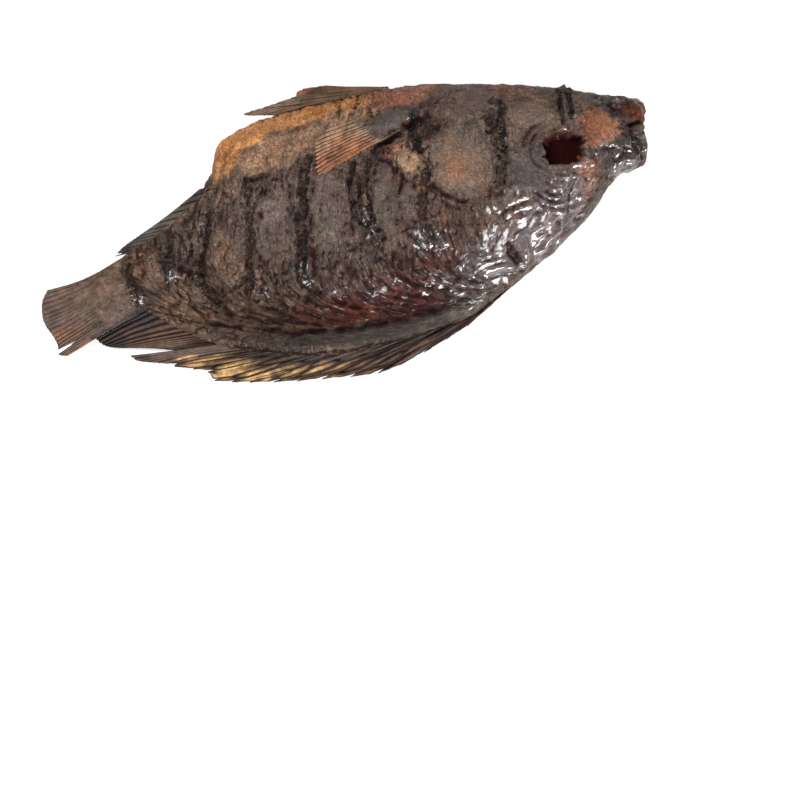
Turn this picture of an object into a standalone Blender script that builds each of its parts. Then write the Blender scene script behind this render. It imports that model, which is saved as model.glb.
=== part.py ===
"""A smoked tilapia, lying on its right flank.

The head points towards +X, the back towards -Y and the left flank faces up. It is one solid: the trunk is a
sphere drawn out through the fish's cross-sections, and the fins are thin ribbed blades joined to it.
Sizes are in millimetres, measured from the tips of the tail, and become metres when a point is placed.
"""

import math

import bmesh
import bpy
from mathutils import Vector
from mathutils import noise

NAME = "smoked_fish"
MILLIMETRE = 0.001
CENTRE_X = 136.72  # middle of the fish's length, from the tail tips
CENTRE_Y = -3.80  # middle of its width over the fins, from the body's axis

# The trunk's cross-sections from tail root to lips: the back edge's x and y, the belly edge's x and y,
# half the thickness, and the height of the middle plane above the resting surface.
SECTIONS = [
    (33.0, -8.5, 33.0, 8.3, 1.2, 9.6),
    (44.0, -13.7, 44.0, 15.6, 4.2, 9.7),
    (63.0, -32.8, 62.0, 21.4, 7.0, 9.9),
    (87.0, -47.1, 83.0, 32.5, 10.2, 10.7),
    (110.0, -56.2, 95.0, 49.1, 13.2, 12.4),
    (140.0, -59.0, 130.0, 52.5, 16.4, 15.2),
    (172.0, -58.5, 168.0, 50.4, 18.2, 17.0),
    (202.0, -47.8, 204.0, 41.4, 18.2, 17.0),
    (233.0, -32.5, 236.0, 30.1, 15.6, 16.2),
    (253.0, -16.7, 259.0, 20.2, 11.2, 15.6),
    (266.0, -13.2, 271.4, 15.2, 7.0, 15.2),
    (268.6, -6.4, 273.4, 9.4, 4.0, 15.0),
    (267.6, 3.9, 267.6, 3.9, 0.0, 14.9),
]
AROUND = 44  # faces round the trunk
ALONG = 58  # rings of faces from tail root to lips
FULLNESS = 0.86  # under 1 makes the cross-section fuller than an ellipse
SHARP_EDGE = 40.0  # degrees between faces that look like an edge

# Swellings (+) and hollows (-) of both flanks: centre x, y; reach along x, y; height.
RELIEF = [
    (112.0, 0.0, 42.0, 20.0, -1.8),  # flank sunken over the belly cavity
    (150.0, 30.0, 26.0, 10.0, -1.2),  # hollow under the pectoral fin
    (106.0, 45.0, 24.0, 5.0, 1.4),  # thick edge of the belly
    (135.0, -47.0, 45.0, 6.0, 1.3),  # muscle along the back
    (187.0, 8.0, 11.0, 22.0, 1.3),  # gill cover
    (208.0, 12.0, 6.0, 26.0, -1.1),  # groove in front of the gill cover
    (250.0, 4.0, 10.0, 10.0, 0.9),  # cheek
]
RELIEF_BELOW = 0.3  # share of the relief left on the flank that is pressed against the plate
RELIEF_FULL = 12.0  # half thickness from which the relief has its full height

FIN_THICKNESS = 1.5
RAY_HEIGHT = 0.45  # how far a fin ray stands out of its membrane
RAY_TAPER = 0.4  # share of that height which is lost at the tips

EYE_CENTRE = (233.6, -2.2)
EYE_RADII = (8.6, 6.4, 8.0)
EYE_MIDDLE = 16.2  # height of the middle plane between the eyes
MOUTH_CORNER = (259.0, 1.0)
MOUTH_TIP = (276.0, 4.6)
MOUTH_GAPE = 2.2
MOUTH_MIDDLE = 17.0
MOUTH_REACH = 20.0  # up and down from its middle, through both sides of the lips
PLATE_WIDTH = 400.0  # block under the fish that leaves the flat it rests on


def place(x, y, z):
    """A point of the fish, in metres from the middle of its footprint."""
    return Vector(((x - CENTRE_X) * MILLIMETRE, (y - CENTRE_Y) * MILLIMETRE, z * MILLIMETRE))


def read_curve(rows, share):
    """The row at a share (0 to 1) of a smooth curve through equally spaced rows."""
    last = len(rows) - 1
    step = min(int(share * last), last - 1)
    t = share * last - step
    before = rows[max(step - 1, 0)]
    after = rows[min(step + 2, last)]
    result = []
    for p0, p1, p2, p3 in zip(before, rows[step], rows[step + 1], after):
        bend = 2 * p0 - 5 * p1 + 4 * p2 - p3
        twist = 3 * p1 - 3 * p2 + p3 - p0
        result.append(p1 + 0.5 * t * ((p2 - p0) + t * (bend + t * twist)))
    return result


def relief(x, y):
    """How far the flank stands out of its plain curve at a point seen from the side."""
    height = 0.0
    for centre_x, centre_y, reach_x, reach_y, rise in RELIEF:
        distance = ((x - centre_x) / reach_x) ** 2 + ((y - centre_y) / reach_y) ** 2
        height += rise * math.exp(-distance)
    return height


def trunk_point(share, angle):
    """A point of the trunk's skin: share runs from tail to lips, the angle from the belly over the flank."""
    back_x, back_y, belly_x, belly_y, half, middle = read_curve(SECTIONS, share)
    across = 0.5 * (1 + math.cos(angle))
    x = back_x + (belly_x - back_x) * across
    y = back_y + (belly_y - back_y) * across
    bulge = math.copysign(abs(math.sin(angle)) ** FULLNESS, math.sin(angle))
    swelling = relief(x, y) * min(half / RELIEF_FULL, 1.0) * (1.0 if bulge > 0 else RELIEF_BELOW)
    return x, y, middle + bulge * (half + swelling)


def flank_height(x, y):
    """The height of the upper flank's skin over a point seen from the side."""
    low, high = 0.0, 1.0
    for _ in range(24):
        share = 0.5 * (low + high)
        row = read_curve(SECTIONS, share)
        if row[0] + (row[2] - row[0]) * (y - row[1]) / (row[3] - row[1]) < x:
            low = share
        else:
            high = share
    across = min(max((y - row[1]) / (row[3] - row[1]), 0.0), 1.0)
    return trunk_point(low, math.acos(2 * across - 1))[2]


def add_object(name, mesh_data, collection, material):
    """An object for a finished bmesh, shaded smooth except at sharp edges."""
    bmesh.ops.recalc_face_normals(mesh_data, faces=mesh_data.faces)
    mesh = bpy.data.meshes.new(name)
    mesh_data.to_mesh(mesh)
    mesh_data.free()
    mesh.shade_smooth()
    mesh.set_sharp_from_angle(angle=math.radians(SHARP_EDGE))
    mesh.materials.append(material)
    shape = bpy.data.objects.new(name, mesh)
    collection.objects.link(shape)
    return shape


def make_trunk(collection, material):
    """A sphere whose rings become the fish's cross-sections."""
    trunk = bmesh.new()
    bmesh.ops.create_uvsphere(trunk, u_segments=AROUND, v_segments=ALONG, radius=1.0)
    for vertex in trunk.verts:
        share = 1 - math.acos(max(-1.0, min(1.0, vertex.co.z))) / math.pi
        if 0.001 < share < 0.999:
            point = trunk_point(share, math.atan2(vertex.co.y, vertex.co.x))
        else:
            row = read_curve(SECTIONS, round(share))
            point = (0.5 * (row[0] + row[2]), 0.5 * (row[1] + row[3]), row[5])
        vertex.co = place(*point)
    return add_object(NAME, trunk, collection, material)


def make_fin(name, roots, tips, rays, collection, material, steps=3, fray=2.0, lie=None):
    """A ribbed blade between two curves: each ray is a ridge, and the membrane between rays ends short."""
    fin = bmesh.new()
    bmesh.ops.create_grid(fin, x_segments=2 * rays, y_segments=steps, size=1.0)
    for vertex in fin.verts:
        column = round((vertex.co.x + 1) * rays)
        out = (vertex.co.y + 1) / 2
        root = Vector(read_curve(roots, column / (2 * rays)))
        tip = Vector(read_curve(tips, column / (2 * rays)))
        length = (tip - root).length
        uneven = 0.5 + 0.5 * noise.noise(Vector((column * 0.73, rays, 4.1)))
        short = fray * (uneven if column % 2 else 0.2 * uneven)
        point = root.lerp(tip, out * (1 - short / length))
        if lie:
            point.z = lie(point.x, point.y) + point.z
        ridge = RAY_HEIGHT if column % 2 == 0 else -RAY_HEIGHT
        vertex.co = place(point.x, point.y, point.z + ridge * (1 - RAY_TAPER * out) - FIN_THICKNESS / 2)
    whole = bmesh.ops.extrude_face_region(fin, geom=list(fin.faces))
    lifted = [item for item in whole["geom"] if isinstance(item, bmesh.types.BMVert)]
    bmesh.ops.translate(fin, verts=lifted, vec=(0, 0, FIN_THICKNESS * MILLIMETRE))
    return add_object(name, fin, collection, material)


def make_fins(collection, material):
    """Every fin, each from its root curve (inside the trunk) to its curve of tips."""
    make_fin(
        "tail_fin",
        [(41, 11.0, 9.8), (45, 4.0, 9.9), (46, -3.0, 9.9), (45, -11.5, 9.8)],
        [(4.5, 8.9, 10.0), (-0.4, -1.5, 9.6), (0.6, -10.0, 9.0), (2.2, -17.0, 8.6), (1.2, -22.0, 8.2),
         (19.0, -20.5, 8.4)],
        13, collection, material, steps=4, fray=2.6,
    )
    make_fin(
        "soft_dorsal_fin",
        [(55, -20.0, 9.4), (60, -25.5, 9.2), (66, -31.0, 9.0), (82, -40.0, 8.4)],
        [(18.8, -19.8, 6.2), (25.0, -25.4, 5.8), (47.5, -33.6, 5.4), (30.0, -30.6, 5.4), (46.5, -39.2, 5.2),
         (61.0, -46.0, 5.2)],
        15, collection, material, steps=4, fray=2.4,
    )
    make_fin(
        "spiny_dorsal_fin",
        [(80, -38.5, 12.6), (104, -50.5, 13.0), (130, -55.5, 14.4), (158, -56.5, 16.2), (185, -53.0, 16.8)],
        [(60, -45.5, 8.8), (78, -56.4, 8.8), (103, -62.9, 9.6), (130, -68.5, 11.0), (153, -64.0, 13.2),
         (177, -57.2, 16.0)],
        15, collection, material, steps=3, fray=4.0,
    )
    make_fin(
        "anal_fin",
        [(50, 12.0, 10.2), (64, 17.5, 10.4), (84, 28.0, 11.6)],
        [(36.6, 15.2, 10.0), (52, 21.4, 10.0), (68, 27.3, 10.2), (81, 32.8, 10.6)],
        8, collection, material, steps=3, fray=1.6,
    )
    make_fin(
        "left_pelvic_fin",
        [(160, 45.5, 23.0), (166, 46.5, 22.0)],
        [(107, 55.3, 20.0), (114, 56.6, 20.0), (131, 56.9, 20.0)],
        4, collection, material, steps=4, fray=3.0,
    )
    make_fin(
        "right_pelvic_fin",
        [(160, 46.5, 15.5), (168, 47.5, 15.5)],
        [(132, 58.4, 14.0), (133.5, 60.6, 14.0), (141, 60.2, 14.0)],
        3, collection, material, steps=3, fray=1.5,
    )
    make_fin(
        "left_pectoral_fin",
        [(168, 27.4, -0.6), (174, 31.0, -0.6), (172, 37.0, -0.6)],
        [(140, 17.4, 0.5), (127, 21.0, 0.7), (125.5, 29.0, 0.7), (130, 38.0, 0.3)],
        7, collection, material, steps=4, fray=4.0, lie=flank_height,
    )


def make_cutters(collection, material):
    """The burnt-out eyes, the mouth's slit and the block that leaves a flat to rest on."""
    for side in (1, -1):
        eye = bmesh.new()
        bmesh.ops.create_uvsphere(eye, u_segments=18, v_segments=12, radius=1.0)
        top = flank_height(*EYE_CENTRE)
        height = top if side > 0 else 2 * EYE_MIDDLE - top
        for vertex in eye.verts:
            unit = vertex.co
            vertex.co = place(
                EYE_CENTRE[0] + unit.x * EYE_RADII[0],
                EYE_CENTRE[1] + unit.y * EYE_RADII[1],
                height + unit.z * EYE_RADII[2],
            )
        add_object("eye_left" if side > 0 else "eye_right", eye, collection, material)

    mouth = bmesh.new()
    bmesh.ops.create_cube(mouth, size=2.0)
    for vertex in mouth.verts:
        corner, opening = (MOUTH_TIP, MOUTH_GAPE) if vertex.co.x > 0 else (MOUTH_CORNER, MOUTH_GAPE / 8)
        height = MOUTH_MIDDLE + MOUTH_REACH * vertex.co.z
        vertex.co = place(corner[0], corner[1] + vertex.co.y * opening / 2, height)
    add_object("mouth_slit", mouth, collection, material)

    rest = bmesh.new()
    bmesh.ops.create_cube(rest, size=PLATE_WIDTH * MILLIMETRE)
    bmesh.ops.translate(rest, verts=rest.verts, vec=(0, 0, -PLATE_WIDTH * MILLIMETRE / 2))
    add_object("resting_plane", rest, collection, material)


def make_material():
    """Grey-brown smoked skin with an oily sheen."""
    skin = bpy.data.materials.new("smoked_skin")
    skin.use_nodes = True
    shader = skin.node_tree.nodes["Principled BSDF"]
    shader.inputs["Base Color"].default_value = (0.14, 0.09, 0.065, 1.0)
    shader.inputs["Roughness"].default_value = 0.42
    shader.inputs["Metallic"].default_value = 0.0
    skin.diffuse_color = (0.14, 0.09, 0.065, 1.0)
    return skin


def new_collection(name):
    collection = bpy.data.collections.new(name)
    bpy.context.scene.collection.children.link(collection)
    return collection


def combine(trunk, shapes, operation):
    """Join or cut the trunk with each helper shape, which stays as a wire guide."""
    for shape in shapes.objects:
        shape.hide_render = True
        shape.display_type = "WIRE"
        step = trunk.modifiers.new(f"{operation.lower()}_{shape.name}", "BOOLEAN")
        step.operation = operation
        step.solver = "EXACT"
        step.object = shape


def main():
    for leftover in list(bpy.data.objects):
        bpy.data.objects.remove(leftover, do_unlink=True)
    skin = make_material()
    parts = new_collection(NAME)
    blades = new_collection("fin_blades")
    cutters = new_collection("cutters")
    trunk = make_trunk(parts, skin)
    make_fins(blades, skin)
    make_cutters(cutters, skin)
    combine(trunk, blades, "UNION")
    combine(trunk, cutters, "DIFFERENCE")


main()
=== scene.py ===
import math

import bmesh
import bpy
import numpy as np
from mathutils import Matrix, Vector
from mathutils.bvhtree import BVHTree


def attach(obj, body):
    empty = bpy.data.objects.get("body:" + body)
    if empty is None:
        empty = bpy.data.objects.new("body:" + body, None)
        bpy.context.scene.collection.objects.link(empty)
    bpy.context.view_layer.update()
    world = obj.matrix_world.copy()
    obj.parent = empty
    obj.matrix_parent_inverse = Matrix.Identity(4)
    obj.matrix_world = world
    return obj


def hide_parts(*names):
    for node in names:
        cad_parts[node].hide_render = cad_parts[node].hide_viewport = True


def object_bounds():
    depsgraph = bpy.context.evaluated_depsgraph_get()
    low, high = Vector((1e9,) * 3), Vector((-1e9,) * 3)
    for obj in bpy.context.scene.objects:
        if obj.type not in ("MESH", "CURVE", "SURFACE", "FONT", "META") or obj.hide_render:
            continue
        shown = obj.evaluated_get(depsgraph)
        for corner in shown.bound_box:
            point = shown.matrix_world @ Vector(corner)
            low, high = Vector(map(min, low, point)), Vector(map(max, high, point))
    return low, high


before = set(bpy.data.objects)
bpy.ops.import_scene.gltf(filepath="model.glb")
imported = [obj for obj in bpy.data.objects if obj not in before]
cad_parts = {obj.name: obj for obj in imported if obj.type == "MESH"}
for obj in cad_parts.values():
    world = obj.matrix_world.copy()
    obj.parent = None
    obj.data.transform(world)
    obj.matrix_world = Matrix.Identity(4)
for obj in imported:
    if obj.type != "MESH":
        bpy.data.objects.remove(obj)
cadLow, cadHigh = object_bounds()
print("frame loaded")

# The fish is worked out in millimetres: x from the tail tips to the lips, y from the back (-) to the belly (+),
# z up from the plate. The drawing's middle is the middle of the solid's footprint.
fishMiddle = (136.69, -3.80)
unit = (cadHigh.x - cadLow.x) / 274.00
originX = (cadLow.x + cadHigh.x) / 2
originY = (cadLow.y + cadHigh.y) / 2


def toWorld(points):
    # millimetres of the drawing to metres of the frame
    points = np.asarray(points, float)
    placed = np.empty_like(points)
    placed[..., 0] = originX + (points[..., 0] - fishMiddle[0]) * unit
    placed[..., 1] = originY + (points[..., 1] - fishMiddle[1]) * unit
    placed[..., 2] = cadLow.z + points[..., 2] * unit
    return placed


# ---- numbers that follow a rule ----

def readCurve(rows, share):
    # smooth curve through evenly spaced rows, read at shares from 0 to 1
    rows = np.asarray(rows, float)
    share = np.asarray(share, float)
    last = len(rows) - 1
    step = np.clip((share * last).astype(int), 0, last - 1)
    t = (share * last - step)[..., None]
    before, here = rows[np.maximum(step - 1, 0)], rows[step]
    there, after = rows[step + 1], rows[np.minimum(step + 2, last)]
    bend = 2 * before - 5 * here + 4 * there - after
    twist = 3 * here - 3 * there + after - before
    return here + 0.5 * t * ((there - before) + t * (bend + t * twist))


def ease(low, high, value):
    # 0 below low, 1 above high, smooth between
    t = np.clip((value - low) / (high - low), 0.0, 1.0)
    return t * t * (3 - 2 * t)


def hashAngles(ix, iy, iz, seed):
    n = (ix * 374761393 + iy * 668265263 + iz * 2147483647 + seed * 974711) & 0xFFFFFFFF
    n = ((n ^ (n >> 13)) * 1274126177) & 0xFFFFFFFF
    n = n ^ (n >> 16)
    return n


def noise3(x, y, z, seed=0):
    # gradient noise from -1 to 1, one cell to each unit
    x, y, z = np.broadcast_arrays(np.asarray(x, float), y, z)
    ix, iy, iz = (np.floor(v).astype(np.int64) for v in (x, y, z))
    fx, fy, fz = x - ix, y - iy, z - iz
    ux, uy, uz = (f * f * f * (f * (f * 6 - 15) + 10) for f in (fx, fy, fz))
    total = 0.0
    for cx in (0, 1):
        for cy in (0, 1):
            for cz in (0, 1):
                n = hashAngles(ix + cx, iy + cy, iz + cz, seed)
                gx = ((n & 1023) / 511.5) - 1
                gy = (((n >> 10) & 1023) / 511.5) - 1
                gz = (((n >> 20) & 1023) / 511.5) - 1
                dot = gx * (fx - cx) + gy * (fy - cy) + gz * (fz - cz)
                wx = ux if cx else 1 - ux
                wy = uy if cy else 1 - uy
                wz = uz if cz else 1 - uz
                total = total + dot * wx * wy * wz
    return np.clip(total * 1.25, -1, 1)


def cloud(x, y, z, size, seed=0, octaves=3, roughness=0.5):
    # several octaves of noise3, its largest cells "size" millimetres across
    total, weight, reach = 0.0, 1.0, 0.0
    for octave in range(octaves):
        scale = 2 ** octave / size
        total = total + weight * noise3(x * scale, y * scale, z * scale, seed + octave * 17)
        reach += weight
        weight *= roughness
    return total / reach


def creases(x, y, z, size, seed=0, octaves=2):
    # 1 on thin lines that wander, 0 away from them
    total, weight = 0.0, 0.0
    for octave in range(octaves):
        scale = 2 ** octave / size
        line = 1 - np.abs(noise3(x * scale, y * scale, z * scale, seed + octave * 31)) * 3.2
        total = total + np.clip(line, 0, 1) ** 2 / (octave + 1)
        weight += 1 / (octave + 1)
    return total / weight


def pathDistance(x, y, path, samples=36):
    # how far each point is from a smooth path, and the share of the path nearest to it
    points = readCurve(path, np.linspace(0, 1, samples))
    best = np.full(np.shape(x), 1e9)
    where = np.zeros(np.shape(x))
    for i in range(samples - 1):
        ax, ay = points[i, 0], points[i, 1]
        bx, by = points[i + 1, 0] - ax, points[i + 1, 1] - ay
        t = np.clip(((x - ax) * bx + (y - ay) * by) / max(bx * bx + by * by, 1e-9), 0, 1)
        dx, dy = x - ax - t * bx, y - ay - t * by
        d = np.hypot(dx, dy)
        nearer = d < best
        best = np.where(nearer, d, best)
        where = np.where(nearer, (i + t) / (samples - 1), where)
    return best, where


def turned(x, y, centreX, centreY, degrees):
    # coordinates along and across a direction, from a centre
    a = math.radians(degrees)
    dx, dy = x - centreX, y - centreY
    return dx * math.cos(a) + dy * math.sin(a), dy * math.cos(a) - dx * math.sin(a)


def spot(x, y, centreX, centreY, reachX, reachY, degrees=0.0, edge=0.5):
    # 1 inside an ellipse, fading out over the outer share "edge"
    u, v = turned(x, y, centreX, centreY, degrees)
    return 1 - ease(1 - edge, 1 + edge * 0.4, np.hypot(u / reachX, v / reachY))


def toLinear(red, green, blue):
    # a colour as seen on a screen, 0 to 255, to light
    seen = np.array([red, green, blue]) / 255
    return np.where(seen <= 0.04045, seen / 12.92, ((seen + 0.055) / 1.055) ** 2.4)


# ---- shader graphs ----

class Graph:
    # builds one material; sockets are wrapped so that Python's operators add Math nodes
    def __init__(self, name):
        self.material = bpy.data.materials.new(name)
        self.material.use_nodes = True
        self.nodes = self.material.node_tree.nodes
        self.links = self.material.node_tree.links
        self.shader = self.nodes["Principled BSDF"]

    def node(self, kind, settings=None, inputs=None, output=0):
        made = self.nodes.new(kind)
        for key, value in (settings or {}).items():
            if key == "stops":
                ramp = made.color_ramp
                while len(ramp.elements) < len(value):
                    ramp.elements.new(0.5)
                for element, (position, colour) in zip(ramp.elements, value):
                    element.position = position
                    element.color = colour
            else:
                setattr(made, key, value)
        for key, value in (inputs or {}).items():
            self.plug(made.inputs[key], value)
        return Socket(self, made.outputs[output])

    def plug(self, socket, value):
        if isinstance(value, Socket):
            self.links.new(value.socket, socket)
        else:
            socket.default_value = value

    def attribute(self, name, output="Fac"):
        return self.node("ShaderNodeAttribute", {"attribute_name": name}, output=output)

    def place(self):
        return self.node("ShaderNodeTexCoord", output="Object")

    def noise(self, scale, detail=3.0, roughness=0.5, vector=None, distortion=0.0):
        return self.node(
            "ShaderNodeTexNoise", {"noise_dimensions": "3D"},
            {"Vector": vector or self.place(), "Scale": scale, "Detail": detail, "Roughness": roughness,
             "Distortion": distortion})

    def mix(self, amount, first, second, blend="MIX"):
        return self.node(
            "ShaderNodeMix", {"data_type": "RGBA", "blend_type": blend},
            {0: amount, 6: first, 7: second}, output=2)

    def span(self, value, low, high, toLow=0.0, toHigh=1.0):
        return self.node(
            "ShaderNodeMapRange", {"clamp": True},
            {"Value": value, "From Min": low, "From Max": high, "To Min": toLow, "To Max": toHigh})

    def line(self, value, middle, reach):
        # 1 where the value is the middle one, 0 from "reach" away
        return self.span(value, middle - reach, middle) * self.span(value, middle + reach, middle)

    def bump(self, height, strength, distance):
        return self.node("ShaderNodeBump", None, {"Height": height, "Strength": strength, "Distance": distance})


class Socket:
    def __init__(self, graph, socket):
        self.graph = graph
        self.socket = socket

    def maths(self, operation, first, second):
        return self.graph.node("ShaderNodeMath", {"operation": operation}, {0: first, 1: second})

    def __add__(self, other):
        return self.maths("ADD", self, other)

    __radd__ = __add__

    def __mul__(self, other):
        return self.maths("MULTIPLY", self, other)

    __rmul__ = __mul__

    def __sub__(self, other):
        return self.maths("SUBTRACT", self, other)

    def __rsub__(self, other):
        return self.maths("SUBTRACT", other, self)


def colour(linear):
    return (float(linear[0]), float(linear[1]), float(linear[2]), 1.0)


# ---- the trunk ----

# Cross-sections from tail root to lips: back edge x, y; belly edge x, y; half thickness; height of the middle.
trunkSections = [
    (33.0, -8.5, 33.0, 8.3, 1.2, 9.6),
    (44.0, -13.7, 44.0, 15.6, 4.2, 9.7),
    (63.0, -32.8, 62.0, 20.4, 7.0, 9.9),
    (87.0, -47.1, 83.0, 32.5, 10.2, 10.7),
    (110.0, -56.2, 95.0, 50.0, 13.2, 12.4),
    (140.0, -59.0, 130.0, 53.5, 16.4, 15.2),
    (172.0, -58.5, 168.0, 50.4, 18.2, 17.0),
    (202.0, -47.8, 204.0, 41.4, 18.2, 17.0),
    (233.0, -32.5, 236.0, 30.1, 15.6, 16.2),
    (253.0, -17.6, 259.0, 19.8, 11.2, 15.6),
    (266.0, -15.6, 271.4, 14.6, 7.0, 15.2),
    (269.0, -8.4, 273.6, 8.8, 4.0, 15.0),
    (267.6, 3.9, 267.6, 3.9, 0.0, 14.9),
]
trunkFullness = 0.86
trunkRelief = [
    (112.0, 0.0, 42.0, 20.0, -1.8),
    (150.0, 30.0, 26.0, 10.0, -1.2),
    (106.0, 45.0, 24.0, 5.0, 1.4),
    (135.0, -47.0, 45.0, 6.0, 1.3),
    (187.0, 8.0, 11.0, 22.0, 1.3),
    (208.0, 12.0, 6.0, 26.0, -1.1),
    (250.0, 4.0, 10.0, 10.0, 0.9),
]
trunk = {"around": 290, "along": 342, "upperShare": 0.70, "evenness": 0.6, "reliefBelow": 0.3, "waist": 15.5}


def trunkRise(x, y):
    height = 0.0
    for centreX, centreY, reachX, reachY, rise in trunkRelief:
        height = height + rise * np.exp(-((x - centreX) / reachX) ** 2 - ((y - centreY) / reachY) ** 2)
    return height


def trunkSurface(share, across, upper):
    # across runs from -1 at the back's edge to 1 at the belly's; upper is +1 for the flank that faces up, -1 below
    row = readCurve(trunkSections, share)
    part = 0.5 * (1 + across)
    x = row[..., 0] + (row[..., 2] - row[..., 0]) * part
    y = row[..., 1] + (row[..., 3] - row[..., 1]) * part
    bulge = np.clip(1 - across ** 2, 0, 1) ** (trunkFullness / 2)
    swelling = trunkRise(x, y) * np.minimum(row[..., 4] / 12, 1) * np.where(upper > 0, 1, trunk["reliefBelow"])
    z = row[..., 5] + upper * bulge * (row[..., 4] + swelling)
    return np.stack([x, y, z], -1)


def leaning(x, y, z):
    # places on the skin are told in a drawing seen from over the back, leaning a little towards the tail;
    # the lower flank reads the same drawing from below
    rise = np.abs(z - trunk["waist"]) - 0.5
    return 0.998 * x - 0.012 * y + 0.060 * rise, 0.980 * y + 0.199 * rise


# ---- what the grill and the smoke left on the skin ----

tints = {
    "skin": (100, 84, 75), "dusk": (80, 66, 59), "ash": (118, 104, 98), "plum": (110, 87, 83),
    "tan": (134, 106, 84), "cream": (176, 144, 114), "umber": (66, 47, 38), "rust": (94, 40, 28),
    "wine": (58, 20, 16), "amber": (214, 149, 90), "apricot": (154, 101, 73), "slate": (64, 57, 50),
    "gold": (216, 174, 118), "soot": (34, 26, 22), "olive": (126, 105, 90), "brick": (120, 70, 50),
    "lilac": (104, 90, 90), "sage": (105, 94, 84), "toast": (148, 92, 52), "bark": (92, 70, 54),
    "stone": (94, 83, 78), "ember": (112, 48, 24), "dun": (104, 86, 70),
    "buff": (158, 124, 98), "pewter": (83, 76, 73), "pearl": (106, 92, 94), "copper": (158, 106, 80),
}
lamplight = 0.735  # how much darker the surfaces are than they look under this light
tints = {name: toLinear(*seen) * lamplight for name, seen in tints.items()}

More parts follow.
